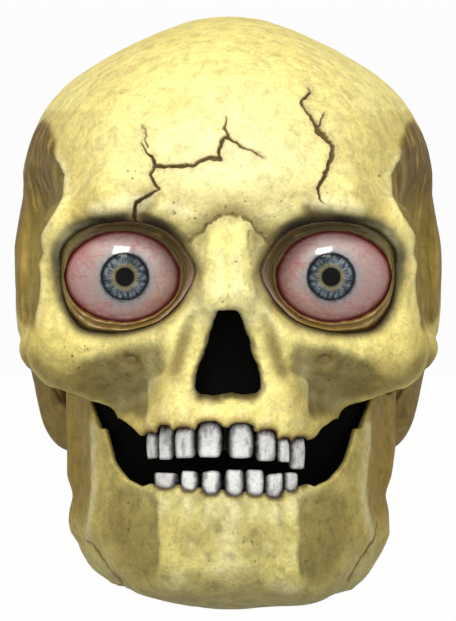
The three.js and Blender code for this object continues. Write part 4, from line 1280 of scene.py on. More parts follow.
def painted_latex(name, pore_depth=0.22):
    """Airbrushed latex: the vertex paint, flecks, washes and dark specks, over pores and a soft grain."""
    f = Finish(name)
    paint = f.add("VertexColor", layer_name="paint", out="Color")
    fleck = f.ramp(f.noise(1.6, 6, 0.65), [(0.30, 0.80), (0.48, 1.0), (0.70, 1.10)])
    paint = f.mix(1.0, paint, fleck, "MULTIPLY")
    wash = f.ramp(f.noise(7, 5, 0.6, warp=0.6), [(0.36, 0.76), (0.5, 0.97), (0.62, 1.10)])
    paint = f.mix(0.85, paint, wash, "MULTIPLY")
    speck = f.ramp(f.cells(2.6), [(0.05, 0.35), (0.13, 1.0)])
    rare = f.ramp(f.noise(9, 3), [(0.52, 0.0), (0.62, 1.0)])
    paint = f.mix(f.maths("MULTIPLY", rare, 0.6), paint, f.mix(1.0, paint, speck, "MULTIPLY"))
    grain = f.noise(0.9, 6, 0.7)
    pores = f.ramp(f.cells(2.2), [(0.04, 0.0), (0.20, 1.0)])
    normal = f.bump(f.noise(4.5, 6, 0.66), 1.1)
    normal = f.bump(grain, 0.26, normal)
    normal = f.bump(f.mix(f.maths("MULTIPLY", rare, 0.9), "#ffffff", pores), pore_depth, normal)
    rough = f.ramp(f.noise(5, 4), [(0.3, 0.36), (0.7, 0.56)])
    return f.finish(paint, normal, rough, Specular_IOR_Level=0.2, Coat_Weight=0.04, Coat_Roughness=0.30)


def wet(name, roughness, coat, bump=0.12, size=1.2, specular=0.5):
    """A painted surface under a glossy coat."""
    f = Finish(name)
    paint = f.add("VertexColor", layer_name="paint", out="Color")
    mottle = f.ramp(f.noise(size, 5, 0.6), [(0.3, 0.82), (0.65, 1.05)])
    paint = f.mix(0.8, paint, mottle, "MULTIPLY")
    rough = f.ramp(f.noise(2.5, 4), [(0.3, roughness * 0.8), (0.7, roughness * 1.25)])
    return f.finish(paint, f.bump(f.noise(size, 5, 0.6), bump), rough, Coat_Weight=coat, Coat_Roughness=0.04,
                    Specular_IOR_Level=specular)


def tooth_metal():
    """Silver paint, tarnished and slightly pitted, under a gloss coat."""
    f = Finish("tooth_silver")
    paint = f.add("VertexColor", layer_name="paint", out="Color")
    tarnish = f.noise(1.5, 6, 0.7, stretch=(1, 1, 0.55), warp=0.8)
    tarnish = f.ramp(tarnish, [(0.28, 0.40), (0.42, 0.92), (0.7, 1.1)])
    paint = f.mix(0.75, paint, tarnish, "MULTIPLY")
    rough = f.ramp(f.noise(1.8, 5), [(0.3, 0.22), (0.7, 0.42)])
    normal = f.bump(f.noise(2.4, 5, 0.65, stretch=(1, 1, 0.5)), 0.55)
    normal = f.bump(f.noise(0.6, 4), 0.08, normal)
    return f.finish(paint, normal, rough, Metallic=0.35, Specular_IOR_Level=0.6, Coat_Weight=0.5,
                    Coat_Roughness=0.12)


def woven(name, dark, light, size, depth, roughness=0.85, sheen=0.3):
    """Cloth of crossing threads; each thread is `size` millimetres wide."""
    f = Finish(name)
    over_x, over_z = f.bands(size, "X"), f.bands(size, "Z")
    threads = f.maths("MAXIMUM", over_x, over_z)
    shade = f.mix(threads, dark, light)
    shade = f.mix(0.6, shade, f.ramp(f.noise(3, 4), [(0.3, 0.6), (0.7, 1.1)]), "MULTIPLY")
    normal = f.bump(threads, depth)
    normal = f.bump(f.noise(0.5, 4), depth * 0.4, normal)
    return f.finish(shade, normal, f.ramp(f.noise(2, 3), [(0.3, roughness - 0.08), (0.7, roughness)]),
                    Sheen_Weight=sheen, Sheen_Roughness=0.5, Specular_IOR_Level=0.25)


def foam(name):
    """Open-cell foam."""
    f = Finish(name)
    open_cells = f.cells(1.1)
    shade = f.ramp(open_cells, [(0.1, "#1f1f22"), (0.45, "#4b4b50"), (0.8, "#5a5a60")])
    shade = f.mix(0.6, shade, f.ramp(f.noise(6, 4), [(0.3, 0.7), (0.7, 1.1)]), "MULTIPLY")
    normal = f.bump(open_cells, 0.3)
    normal = f.bump(f.noise(0.5, 4), 0.12, normal)
    return f.finish(shade, normal, f.ramp(f.noise(3, 3), [(0.3, 0.86), (0.7, 0.98)]), Sheen_Weight=0.25,
                    Sheen_Roughness=0.6, Specular_IOR_Level=0.2)


def moulded(name, code, light, roughness, metallic=0.0, grain=0.05):
    """Moulded plastic or brushed metal with fine grain and worn, lighter scuffs."""
    f = Finish(name)
    scuff = f.ramp(f.noise(2.2, 6, 0.7, stretch=(1, 1, 0.3)), [(0.45, 0.0), (0.75, 1.0)])
    shade = f.mix(f.maths("MULTIPLY", scuff, 0.55), code, light)
    rough = f.ramp(f.noise(1.4, 5), [(0.3, roughness * 0.75), (0.7, roughness * 1.25)])
    normal = f.bump(f.noise(0.6, 5, 0.6), grain)
    return f.finish(shade, normal, rough, Metallic=metallic, Specular_IOR_Level=0.5)


def clear_cornea():
    """Thin clear plastic, dark enough to show its highlight."""
    f = Finish("clear_cornea")
    tint = f.ramp(f.noise(6, 3), [(0.3, "#04070a"), (0.7, "#0a0f14")])
    normal, rough = f.bump(f.noise(5, 2), 0.02), f.ramp(f.noise(4, 2), [(0.3, 0.02), (0.7, 0.04)])
    return f.finish(tint, normal, rough, Alpha=0.12, IOR=2.0, Specular_IOR_Level=0.5)


bone = painted_latex("bone_latex")
jaw_bone = painted_latex("jaw_bone_latex", 0.3)
glass_eye = wet("glass_eye", 0.12, 1.0, 0.03, 2.0)
iris_print = wet("iris_print", 0.6, 0.0, 0.03, 0.6, 0.04)
flesh = wet("eyelid_flesh", 0.28, 1.0, 0.08, 1.8)
silver = tooth_metal()
gauze = woven("black_gauze", "#010101", "#090909", 0.7, 0.25, 0.95, 0.0)
tooth_base = wet("tooth_base", 0.4, 0.3, 0.2, 1.5)
elastic = woven("black_elastic", "#0b0b0c", "#2c2c2f", 1.0, 0.35)
grey_foam = foam("grey_foam")
patch_latex = moulded("patch_latex", "#c4b063", "#e2d28c", 0.6, 0.0, 0.12)
thread = moulded("stitch_thread", "#d8d2bc", "#f2eede", 0.7, 0.0, 0.1)
steel = moulded("zinc_steel", "#8d9196", "#c9ccd0", 0.32, 1.0, 0.04)
nylon = moulded("white_nylon", "#d9d6cb", "#efede5", 0.45, 0.0, 0.05)
clear_material = clear_cornea()
buckle_plastic = moulded("black_plastic", "#141416", "#3a3a3e", 0.42, 0.0, 0.06)

# ---------------------------------------------------------------- latex shells

build_shell("skull_cranium", CRANIUM_FORM, (0, 0, 150), 158, 420, keep_cranium, (crack_area, (0.8, 0.45)),
            sculpt_cranium, paint_cranium, settle_cranium, bone, "cranium", "cranium_shell")
build_shell("skull_jaw", JAW_FORM, (0, -28, 60), 100, 300, keep_jaw, (jaw_area, (0.8, 0.5)),
            sculpt_jaw, paint_jaw, settle_jaw, jaw_bone, "jaw", "jaw_shell")
for side_name, side in SIDES.items():
    build_web(side_name, side)


# ---------------------------------------------------------------- eyes

def eye_surface(dx, dz):
    """y of the eyeball's front at an offset from its axis."""
    spread = (dx / EYE_WIDE) ** 2 + (dz / EYE_HIGH) ** 2
    return EYE_Y - EYE_DEEP * np.sqrt(np.clip(1 - spread, 0, 1))


def vein_paths(seed):
    """Branching paths that wander from the eyeball's edge towards the iris."""
    random = np.random.default_rng(seed)
    paths = []
    for _ in range(24):
        turn = random.uniform(0, 2 * math.pi)
        if abs(math.sin(turn)) > 0.75 and random.random() < 0.5:
            turn = random.choice([0, math.pi]) + random.normal(0, 0.5)
        reach = random.uniform(0.2, 0.62)
        width = random.uniform(0.06, 0.20)
        stack = [(turn, 1.0, reach, width)]
        while stack:
            turn, start, reach, width = stack.pop()
            steps = max(4, int(reach * 26))
            bend = random.normal(0, 0.05)
            points = []
            for i in range(steps):
                share = start - reach * i / steps
                if share < 0.46:
                    break
                turn += bend + random.normal(0, 0.06)
                bend = bend * 0.7 + random.normal(0, 0.03)
                points.append((share * EYE_WIDE * math.cos(turn), share * EYE_HIGH * math.sin(turn)))
                if random.random() < 0.10 and width > 0.08 and len(stack) < 4:
                    stack.append((turn, share, reach * 0.5, width * 0.65))
            if len(points) > 2:
                paths.append((width, points))
    return paths


EYE_EDGE = IRIS_RADIUS + 0.35


def eye_row(turn, reach_x, reach_z, y):
    """An ellipse round the eye's axis at depth `y`."""
    return np.stack([EYE_X + reach_x * np.cos(turn), np.full(len(turn), y), EYE_Z + reach_z * np.sin(turn)], 1)


def build_eyeball(side_name, side):
    """The printed white: pinkish and veined, with a painted highlight high up, painted shade towards the
    bottom, the outer side and the lids, and darker round the iris.
    """
    rings, spokes = 92, 240
    turn = full_turn(spokes)
    rows = []
    for i in range(rings + 1):
        bend = math.sin(i / rings * math.pi / 2)
        reach_x, reach_z = EYE_EDGE + (EYE_WIDE - EYE_EDGE) * bend, EYE_EDGE + (EYE_HIGH - EYE_EDGE) * bend
        depth = eye_surface(reach_x * np.cos(turn), reach_z * np.sin(turn))
        rows.append(eye_row(turn, reach_x, reach_z, depth))
    for back, grow in ((4.5, 0.0), (5.5, 1.5), (7.4, 1.6), (7.5, -1.8), (0.0, -2.0), (-8.0, -7.0)):
        rows.append(eye_row(turn, EYE_WIDE + grow, EYE_HIGH + grow, EYE_Y + back))
    rows.append(eye_row(turn, EYE_EDGE, EYE_EDGE, rows[0][:, 1].max() + 3.2))
    points, faces = loft(rows, is_ring=True)
    dx, dz = points[:, 0] - EYE_X, points[:, 2] - EYE_Z
    paint = flat_paint(len(points), "#a99993")
    # painted highlight high on the white
    paint = over(paint, "#d9d1cd", 0.8 * bell(dx + 3, 14) * bell(dz - 13, 7))
    # painted shade towards the bottom and the outer side
    paint = over(paint, "#94807b", 0.7 * smooth(2, -22, dz))
    paint = over(paint, "#8d6f68", 0.55 * smooth(6, 24, dx))
    paint = over(paint, "#c59a98", 0.65 * smooth(0.35, 0.95, np.hypot(dx / EYE_WIDE, dz / EYE_HIGH)))
    patches = layered(points, 9, 120 + side)
    paint = over(paint, "#bc8a88", 0.35 * smooth(0.0, 0.7, patches))
    radius = np.hypot(dx, dz)
    paint = over(paint, "#7e8790", 0.6 * (1 - smooth(11.4, 16.0, radius + 0.8 * noise(points, 2, 124))))
    paint = over(paint, "#3d464f", 0.85 * (1 - smooth(11.2, 12.6, radius + 0.5 * noise(points, 1.2, 125))))
    front = np.arange(len(points)) < (rings + 1) * spokes
    red = np.zeros(len(points))
    for width, path in vein_paths(7 + side):
        away, place = path_distance(dx[front], dz[front], path)
        half = width * (1 - 0.6 * place / len(path))
        red[front] = np.maximum(red[front], 1 - smooth(half * 0.4, half + 0.22, away))
        red[front] = np.maximum(red[front], 0.3 * bell(away, half * 4 + 0.3))
    paint = over(paint, "#b0494a", 0.5 * red)
    lid_gap = np.hypot((dx - 1.4) / LID_WIDE, (dz - 0.2) / LID_HIGH)
    shadow = smooth(0.74, 0.98, lid_gap + 0.05 * patches) * (0.5 + 0.5 * smooth(-4, 18, dx))
    paint = over(paint, "#8c4040", 0.55 * shadow)
    paint = over(paint, "#6f1c20", 0.9 * smooth(0.91, 1.0, lid_gap))
    paint[~front] = colour("#8a5b58")
    points, faces = mirrored_mesh(points, faces, side)
    make_object(f"eyeball_{side_name}", points, faces, glass_eye, "cranium", paint,
                node=f"eye_dome_{side_name}")


def build_iris(side_name, side):
    """The printed iris: radial fibres round a black pupil."""
    rings, spokes = 40, 300
    turn = full_turn(spokes)
    rows, shares = [], []
    radius, base = IRIS_RADIUS + 0.3, eye_surface(EYE_EDGE, 0) + 1.3
    for i in range(rings + 1):
        share = 0.03 + 0.97 * i / rings
        r = share * radius
        rows.append(eye_row(turn, r, r, base + 0.9 * (1 - share) + (0.35 if r < 4.3 else 0)))
        shares.append(np.full(spokes, share))
    for r, y in ((radius, base + 1.2), (0.3, base + 2.0)):
        rows.append(eye_row(turn, r, r, y))
        shares.append(np.full(spokes, r / radius))
    points, faces = loft(rows)
    share, angle = np.concatenate(shares), np.tile(turn, len(rows))
    circle = np.stack([np.cos(angle), np.sin(angle), share * 0.35], 1)
    fibre = layered(circle * 60, 6.0, 130, 3)
    fine = layered(circle * 60, 2.2, 134, 2)
    paint = flat_paint(len(points), "#55626f")
    paint = over(paint, "#a9b6bd", smooth(0.0, 0.6, fibre + 0.5 * fine) * 0.95)
    paint = over(paint, "#1b242d", smooth(0.0, 0.6, -fibre - 0.3 * fine) * 0.9)
    ring_edge = share + 0.05 * fibre
    paint = over(paint, "#a89e72", 0.75 * (1 - smooth(0.50, 0.66, ring_edge)) * smooth(-0.7, 0.1, fine))
    paint = over(paint, "#6a5a3a", 0.6 * (1 - smooth(0.42, 0.50, ring_edge)))
    paint = over(paint, "#151c23", 0.95 * smooth(0.78, 0.94, share + 0.05 * fine))
    paint = over(paint, "#020202", 1 - smooth(0.385, 0.405, share + 0.006 * fine))
    points, faces = mirrored_mesh(points, faces, side)
    make_object(f"iris_print_{side_name}", points, faces, iris_print, "cranium", paint,
                node=f"iris_{side_name}")


def build_cornea(side_name, side):
    """The clear dome over the iris, 0.7 mm thick."""
    rings, rows = 18, []
    turn = full_turn(96)
    top = eye_surface(EYE_EDGE, 0) - 0.2
    for inset, order in ((0.0, range(rings + 1)), (0.7, range(rings, -1, -1))):
        for i in order:
            share = 0.02 + 0.98 * i / rings
            r = share * (EYE_EDGE + 0.1 - inset * 0.4)
            rows.append(eye_row(turn, r, r, top + inset - (3.0 - inset * 0.6) * (1 - share ** 2)))
    points, faces = loft(rows, is_ring=True)
    points, faces = mirrored_mesh(points, faces, side)
    make_object(f"cornea_dome_{side_name}", points, faces, clear_material, "cranium",
                node=f"cornea_{side_name}")


def build_eyelid(side_name, side):
    """The soft lid ring, in 41 strips from the orbit's edge in to the eyeball, then round its back."""
    count, outer = len(ORBIT), ORBIT
    angle = np.arctan2((outer[:, 1] - LID_Z) / LID_HIGH, (outer[:, 0] - LID_X) / LID_WIDE)
    inner = np.stack([LID_X + LID_WIDE * np.cos(angle), LID_Z + LID_HIGH * np.sin(angle)], 1)
    inner += 0.35 * np.stack([noise(np.c_[inner, inner[:, :1]], 5, seed) for seed in (140, 141)], 1)
    start = np.stack([outer[:, 0], np.full(count, -220.0), outer[:, 1]], 1)
    bone_y = walk_in(CRANIUM_FORM, start, np.tile((0.0, 1.0, 0.0), (count, 1)), 0)[:, 1]
    bone_y = np.clip(bone_y, -140, -104)
    for _ in range(6):
        bone_y = (np.roll(bone_y, 1) + bone_y * 2 + np.roll(bone_y, -1)) / 4
    ball_y = eye_surface(inner[:, 0] - EYE_X, inner[:, 1] - EYE_Z)
    low = smooth(0.1, -0.7, np.sin(angle))
    nasal = smooth(0.35, 0.95, -np.cos(angle))
    rows, marks = [], []
    for i in range(41):
        t = i / 40
        xz = outer * (1 - t) + inner * t
        dip = smooth(0, 0.75, t)
        y = (bone_y + 1.4) * (1 - dip) + (ball_y - 0.7) * dip
        y = y + 2.4 * bell(t - 0.12, 0.11)
        y = y - (1.5 + 1.6 * low) * bell(t - 0.80, 0.15)
        y = y - (1.6 * low + 0.5) * bell(t - 0.42, 0.16)
        y = y + (1.6 if t > 0.975 else 0)
        rows.append(np.stack([xz[:, 0], y, xz[:, 1]], 1))
        marks.append(np.full(count, t))
    inner_back, outer_back = rows[-1] + (0, 2.0, 0), rows[0] + (0, 3.4, 0)
    rows += [inner_back, (inner_back + outer_back) / 2 + (0, 1.5, 0), outer_back]
    marks += [np.ones(count), np.full(count, 0.5), np.zeros(count)]
    points, faces = loft(np.stack(rows, 1), is_ring=True)
    t = np.stack(marks, 1).ravel()
    angle_all = np.repeat(angle, len(rows))
    low_all, nasal_all = np.repeat(low, len(rows)), np.repeat(nasal, len(rows))
    points = points + 0.18 * np.stack([noise(points, 2.6, 150 + i) for i in range(3)], 1)
    paint = flat_paint(len(points), "#6b5a28")
    paint = over(paint, "#8d7030", 0.85 * low_all * smooth(0.15, 0.45, t))
    # painted shade in the crease along the orbit's edge, and painted shadow over the upper lid
    paint = over(paint, "#2a2110", 0.9 * (1 - smooth(0.05, 0.28, t)))
    paint = over(paint, "#2a2110", 0.55 * (1 - low_all) * smooth(0.2, 0.9, np.sin(angle_all)))
    # painted shade in the fold between the two rolls
    paint = over(paint, "#3b2c14", 0.45 * bell(t - 0.62, 0.04))
    ring = smooth(0.08, 0.25, t) * (1 - smooth(0.5, 0.62, t))
    paint = over(paint, "#b99a86", 0.85 * nasal_all * smooth(0.5, -0.3, np.sin(angle_all)) * ring)
    corner = smooth(0.2, 0.9, np.cos(angle_all)) * smooth(-0.1, -0.6, np.sin(angle_all))
    paint = over(paint, "#8f5a50", 0.7 * corner * (1 - smooth(0.15, 0.4, t)) * smooth(0.02, 0.1, t))
    paint = over(paint, "#6f2a22", 0.85 * smooth(0.90, 0.97, t))
    # painted wet highlights along the lower lid's rolls
    painted_highlight = smooth(-0.1, 0.5, layered(points, 3, 156)) * low_all
    paint = over(paint, "#e6d0b6", 0.6 * painted_highlight * bell(t - 0.79, 0.035))
    paint = over(paint, "#c9aa78", 0.4 * painted_highlight * bell(t - 0.40, 0.05))
    paint = over(paint, "#a98f4c", 0.35 * smooth(0.1, 0.7, layered(points, 4, 155)))
    points, faces = mirrored_mesh(points, faces, side)
    make_object(f"eyelid_{side_name}", points, faces, flesh, "cranium", paint,
                node=f"eyelid_rim_{side_name}")


for side_name, side in SIDES.items():
    build_eyeball(side_name, side)
    build_iris(side_name, side)
    build_cornea(side_name, side)
    build_eyelid(side_name, side)


# ---------------------------------------------------------------- teeth

def arch_y(arch, x):
    """y of a tooth arch at x."""
    y, wide, deep = arch
    return y - deep * np.sqrt(np.clip(1 - (x / wide) ** 2, 0, 1))


def build_tooth(name, node, arch, size, seed, body):
    """One tooth on its arch, lofted from root to biting edge; `v` is 0 at the gum and 1 at the edge."""
    left, right, gum, edge = size
    random = np.random.default_rng(seed)
    down = math.copysign(1, edge - gum)
    height = abs(edge - gum)
    middle_x = (left + right) / 2
    start, end = np.array([left, arch_y(arch, left)]), np.array([right, arch_y(arch, right)])
    along = (end - start) / np.linalg.norm(end - start)
    inward = np.array([-along[1], along[0]])
    half = np.linalg.norm(end - start) / 2 + 0.15
    face = np.array([middle_x, arch_y(arch, middle_x)])
    lean, taper = random.uniform(-0.8, 0.8), random.uniform(0.04, 0.14)
    side_width, lip_start = 0.34, 0.80
    count, rows, heights = 48, [], []
    turn = full_turn(count)
    rounding = 1 - 0.1 * (1 - np.linspace(0, 1, 9)[1:]) ** 2
    levels = np.r_[np.linspace(-0.30, 0.0, 8)[:-1], np.linspace(0, 0.9, 24), rounding]
    for v in levels:
        crown = smooth(-0.25, 0.42, v)
        width = half * (0.50 + 0.50 * crown) * (1 - taper * smooth(0.45, 1.0, v))
        depth = TOOTH_DEPTH * (0.94 - 0.52 * smooth(0.15, 1.0, v))
        if v > lip_start:
            lip = math.sqrt(max(0.02, 1 - ((v - lip_start) / 0.202) ** 2))
            width, depth = width * (1 - side_width + side_width * lip), depth * (0.40 + 0.60 * lip)
        u = rounded(np.cos(turn), 0.72) * width
        w = (rounded(np.sin(turn), 0.72) + 1) / 2 * depth
        front_lean = 0.2 + 0.9 * (v - 0.35) ** 2 + 1.1 * smooth(0.05, -0.25, v) + lean * (v - 0.5)
        curve = 0.9 * (np.abs(u) / half) ** 2.4
        spot = face + np.outer(u, along) + np.outer(w + front_lean + curve, inward)
        groove = 0.18 * (np.cos(u / half * 2.2 * math.pi) * (np.sin(turn) < 0)) * smooth(0.35, 0.95, v)
        spot = spot + np.outer(groove, inward)
        arc = -0.9 * (u / half) ** 2 * smooth(0.3, -0.1, v) + 0.5 * (u / half) * lean * smooth(0.4, 1.0, v)
        z = gum + down * (v * height - arc)
        rows.append(np.stack([spot[:, 0], spot[:, 1], z], 1))
        heights.append(np.full(count, v))
    points, faces = loft(rows)
    v = np.concatenate(heights)
    points = points + 0.30 * np.stack([layered(points + seed, 3.4, 160 + i, 2) for i in range(3)], 1)
    across = np.abs((points[:, :2] - face) @ along) / half
    back = (points[:, :2] - face) @ inward
    # a white middle as a painted highlight, with painted shade darkening it to near black at its sides
    paint = flat_paint(len(points), "#ffffff")
    paint = over(paint, "#6b6e72", 0.92 * smooth(0.42, 0.9, across + 0.10 * layered(points, 3, 163)))
    paint = over(paint, "#101013", 0.97 * smooth(0.68, 0.98, across + 0.12 * layered(points, 2, 164)))
    paint = over(paint, "#4d4f53",
                 0.55 * smooth(0.0, 0.55, layered(points * (1, 1, 0.5), 2.6, 166 + seed % 5)))
    # painted shade where the tooth meets the gum
    paint = over(paint, "#1a191a", 0.95 * (1 - smooth(-0.02, 0.22, v + 0.06 * layered(points, 1.6, 168))))
    rust = (1 - smooth(0.02, 0.20, v)) * smooth(0.0, 0.6, layered(points, 2.6, 170))
    paint = over(paint, "#8a4a1c", 0.75 * rust)
    # painted shade at the biting edge and on the back
    paint = over(paint, "#3a3a3d", 0.6 * smooth(0.90, 1.0, v))
    paint = over(paint, "#1a1a1c", 0.8 * smooth(2.5, 4.5, back))
    make_object(name, points, faces, silver, body, paint, node=node)


def build_tooth_base(name, node, arch, bottom, top, body):
    """The dark bar behind a row of teeth, rippled on its front."""
    set_back = TOOTH_DEPTH + 1.8
    rows = []
    for turn in np.linspace(-1.25, 1.25, 90):
        ripple = 0.35 * math.sin(turn * 41)
        row = []
        for a in full_turn(28):
            u = rounded(math.cos(a), 0.4)
            w = rounded(math.sin(a), 0.4)
            inset = set_back + 2.0 + 1.8 * u + ripple * (u < 0)
            row.append(((arch[1] - inset) * math.sin(turn), arch[0] - (arch[2] - inset) * math.cos(turn),
                        (bottom + top) / 2 + w * (top - bottom) / 2))
        rows.append(row)
    points, faces = loft(rows)
    paint = flat_paint(len(points), "#060505")
    paint = over(paint, "#1c1412", smooth(0.0, 0.8, layered(points, 4, 175)))
    make_object(name, points, faces, tooth_base, body, paint, node=node)


for i, size in enumerate(UPPER_TEETH, 1):
    build_tooth(f"tooth_upper_{i}", f"upper_tooth_{i}", UPPER_ARCH, size, 200 + i, "cranium")
for i, size in enumerate(LOWER_TEETH, 1):
    build_tooth(f"tooth_lower_{i}", f"lower_tooth_{i}", LOWER_ARCH, size, 300 + i, "jaw")
build_tooth_base("tooth_base_upper", "upper_tooth_bar", UPPER_ARCH, 74, 92, "cranium")
build_tooth_base("tooth_base_lower", "lower_tooth_bar", LOWER_ARCH, 44, 60, "jaw")


# ---------------------------------------------------------------- black gauze

GAUZE_THICK = 0.6
SCRIM_REACH, SCRIM_LOW, SCRIM_HIGH = 66, 46, 106


def build_mouth_gauze():
    """The stretched cloth from jaw branch to jaw branch behind the teeth, with a faint ripple."""
    rows = []
    for x in np.linspace(-SCRIM_REACH, SCRIM_REACH, 94):
        y = -62 - 50 * math.sqrt(1 - (x / 72) ** 2)
        rows.append([(x, y + 0.25 * math.sin(x * 1.1) * math.sin((z - SCRIM_LOW) / 60 * math.pi), z)
                     for z in np.linspace(SCRIM_LOW, SCRIM_HIGH, 40)])
    points, faces = closed_sheet(rows, GAUZE_THICK)
    scrim = make_object("mouth_gauze", points, faces, gauze, None, node="mouth_scrim")
    to_row((0, -112, 92))
    to_row((0, -112, 52))
    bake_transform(scrim)


def build_nose_gauze():
    """The cloth glued behind the nose hole: the hole's outline and a margin."""
    middle = np.array([0, 117])
    loop = middle + (NOSE - middle) * 1.16
    rows = []
    for back, shares in ((0.0, np.linspace(0.04, 1, 24)), (GAUZE_THICK, np.linspace(1, 0.04, 24))):
        for share in shares:
            x, z = (loop * share + middle * (1 - share)).T
            rows.append(np.stack([x, np.full(len(x), -131 + 0.4 * (1 - share ** 2) + back), z], 1))
    points, faces = loft(rows)
    panel = make_object("nose_gauze", points, faces, gauze, "cranium", node="nose_mesh")
    x, z = loop.T


build_mouth_gauze()
build_nose_gauze()


# ---------------------------------------------------------------- straps, patches and stitches

def ribbon(path, wide_vector, wide, thick, steps, ribs=5):
    """Rows of a strap's rounded, ribbed cross-section along a smooth path."""
    line = smooth_path(path, steps)
    tangent = np.gradient(line, axis=0)
    tangent /= np.linalg.norm(tangent, axis=1, keepdims=True)
    out = np.cross(tangent, wide_vector)
    out /= np.linalg.norm(out, axis=1, keepdims=True)
    count = 60
    turn = (np.arange(count) + 0.5) / count * 2 * math.pi
    u = rounded(np.cos(turn), 0.35)
    v = rounded(np.sin(turn), 0.35)
    v = v * (0.84 + 0.16 * np.cos(u * math.pi * ribs) ** 2)
    wide_vector = np.array(wide_vector, float)
    rows = []
    for i, (point, normal) in enumerate(zip(line, out)):
        pinch = 1 - 0.012 * (i % 2)
        across, through = u * wide / 2 * pinch, v * thick / 2 * pinch
        rows.append(point + np.outer(across, wide_vector) + np.outer(through, normal))
    return loft(rows)


def strap(name, node, path, wide_vector, wide, steps):
    """An elastic webbing strap on the cranium."""
    points, faces = ribbon(path, wide_vector, wide, STRAP_THICK, steps)
    make_object(name, points, faces, elastic, "cranium", node=node)


half = [(88.4, -22), (88.8, -12), (88.6, -2), (87, 12), (81, 28), (70, 39), (58, STRAP_Y), (40, STRAP_Y),
        (20, STRAP_Y)]
route = half + [(0, STRAP_Y)] + [(-x, y) for x, y in half[::-1]]
strap("elastic_rear", "rear_strap", [(x, y, STRAP_Z) for x, y in route], (0, 0, 1), STRAP_WIDE, 260)
end_y = STRAP_Y + STRAP_THICK + 0.8
route = [(-24, 267), (-14, 268), (-2, 267.6), (12, 264), (27, 253), (37, 238), (43, 220),
         (end_y, 204), (end_y, 190), (end_y, 172), (end_y, 154)]
strap("elastic_crown", "crown_strap", [(0, y, z) for y, z in route], (1, 0, 0), 20, 180)
SIDE_ELASTIC_X = 62.5
for side_name, side in SIDES.items():
    x = side * SIDE_ELASTIC_X
    path = [(x, -76, 110), (x, -76, 97), (x, -77, 84), (x, -78, 70)]
    points, faces = ribbon(path, (0, 1, 0), 9, 1.4, 60, 3)
    spring = make_object(f"elastic_jaw_{side_name}", points, faces, elastic, None,
                         node=f"jaw_elastic_{side_name}")
    to_row((x, -76, 108))
    to_row((x, -78, 72))
    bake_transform(spring)


def liner_grid(form, centre, across, up, out, half_sizes, rings, spokes, thick=None):
    """Front points on the wall's inner face and back points behind them, on a rounded rectangle."""
    centre, across, up, out = (np.array(v, float) for v in (centre, across, up, out))
    share = np.r_[0.02, np.arange(1, rings + 1) / rings]
    turn = full_turn(spokes)
    square = np.maximum(np.abs(np.cos(turn)), np.abs(np.sin(turn))) ** -0.55
    u = np.outer(share, np.cos(turn) * square) * half_sizes[0]
    v = np.outer(share, np.sin(turn) * square) * half_sizes[1]
    base = centre + u[..., None] * across + v[..., None] * up
    flat = base.reshape(-1, 3)
    heading = np.tile(-out, (len(flat), 1))
    wall = walk_in(form, flat + out * 200, heading, WALL + LINER_GAP)
    back = flat if thick is None else walk_in(form, flat + out * 200, heading, WALL + LINER_GAP + thick)
    return wall.reshape(base.shape), back.reshape(base.shape), share


def cushion(name, node, form, centre, across, up, out, half_sizes, body):
    """A foam pad: rounded edges, a crowned face towards the head, and a flat glued face."""
    rings, spokes = 26, 96
    wall, back, share = liner_grid(form, centre, across, up, out, half_sizes, rings, spokes)
    out = np.array(out, float)
    rows = []
    for i, s in enumerate(share):
        roll = (1 - s ** 7) ** (1 / 2.2) if s < 1 else 0.0
        middle = (wall[i] + back[i]) / 2
        rows.append(middle + (wall[i] - middle) * roll)
    for i in range(rings - 1, -1, -1):
        s = share[i]
        roll = (1 - s ** 5) ** (1 / 2.0)
        crown = 1.2 * (1 - s ** 2)
        middle = (wall[i] + back[i]) / 2
        dimple = 0.35 * bell(s - 0.82, 0.05)
        rows.append(middle + (back[i] - middle) * roll - out * (crown - dimple))
    points, faces = loft(rows)
    points = points + 0.25 * np.stack([layered(points, 7, 180 + k, 3) for k in range(3)], 1)
    pad = make_object(name, points, facing_out(points, faces), grey_foam, body, node=node)


X, Y, Z = (1, 0, 0), (0, 1, 0), (0, 0, 1)
cushion("pad_forehead", "forehead_pad", CRANIUM_FORM, (0, -117, 225), X, Z, (0, -1, 0), (30, 13), "cranium")
cushion("pad_crown", "crown_pad", CRANIUM_FORM, (0, -56, 252), X, Y, Z, (30, 21), "cranium")
cushion("pad_chin", "chin_pad", JAW_FORM, (0, -112, 20), X, Y, (0, 0, -1), (28, 15), "jaw")
for side_name, side in SIDES.items():
    cushion(f"pad_temple_{side_name}", f"temple_pad_{side_name}", CRANIUM_FORM, (side * 78, -28, 203), Y, Z,
            (side, 0, 0), (14, 16), "cranium")


def stitch_row(start, end, count, normal):
    """Short thread loops between two points on a face."""
    start, end, normal = (np.array(v, float) for v in (start, end, normal))
    points, faces = [], []
    run = (end - start) / count
    side = np.cross(run / np.linalg.norm(run), normal)
    for i in range(count):
        centre = start + run * (i + 0.5)
        rows = []
        for t in np.linspace(-1, 1, 7):
            fat = 0.34 * math.sqrt(max(0.04, 1 - t ** 4))
            spot = centre + run * 0.36 * t + normal * 0.25 * (1 - t * t)
            turn = full_turn(8)
            rows.append(spot + np.outer(np.cos(turn) * fat, side) + np.outer(np.sin(turn) * fat, normal))
        p, f = loft(rows)
        faces += [tuple(k + len(points) * len(p) for k in one) for one in f]
        points.append(p)
    return np.vstack(points), faces


def stitch_box(name, corners, normal, body):
    """A sewn box with a cross in it."""
    a, b, c, d = corners
    points, faces, start = [], [], 0
    for p, q in ((a, b), (b, c), (c, d), (d, a), (a, c), (b, d)):
        count = max(3, int(np.linalg.norm(np.subtract(q, p)) / 2.4))
        these, those = stitch_row(p, q, count, normal)
        points.append(these)
        faces += [tuple(k + start for k in one) for one in those]
        start += len(these)
    make_object(name, np.vstack(points), faces, thread, body)


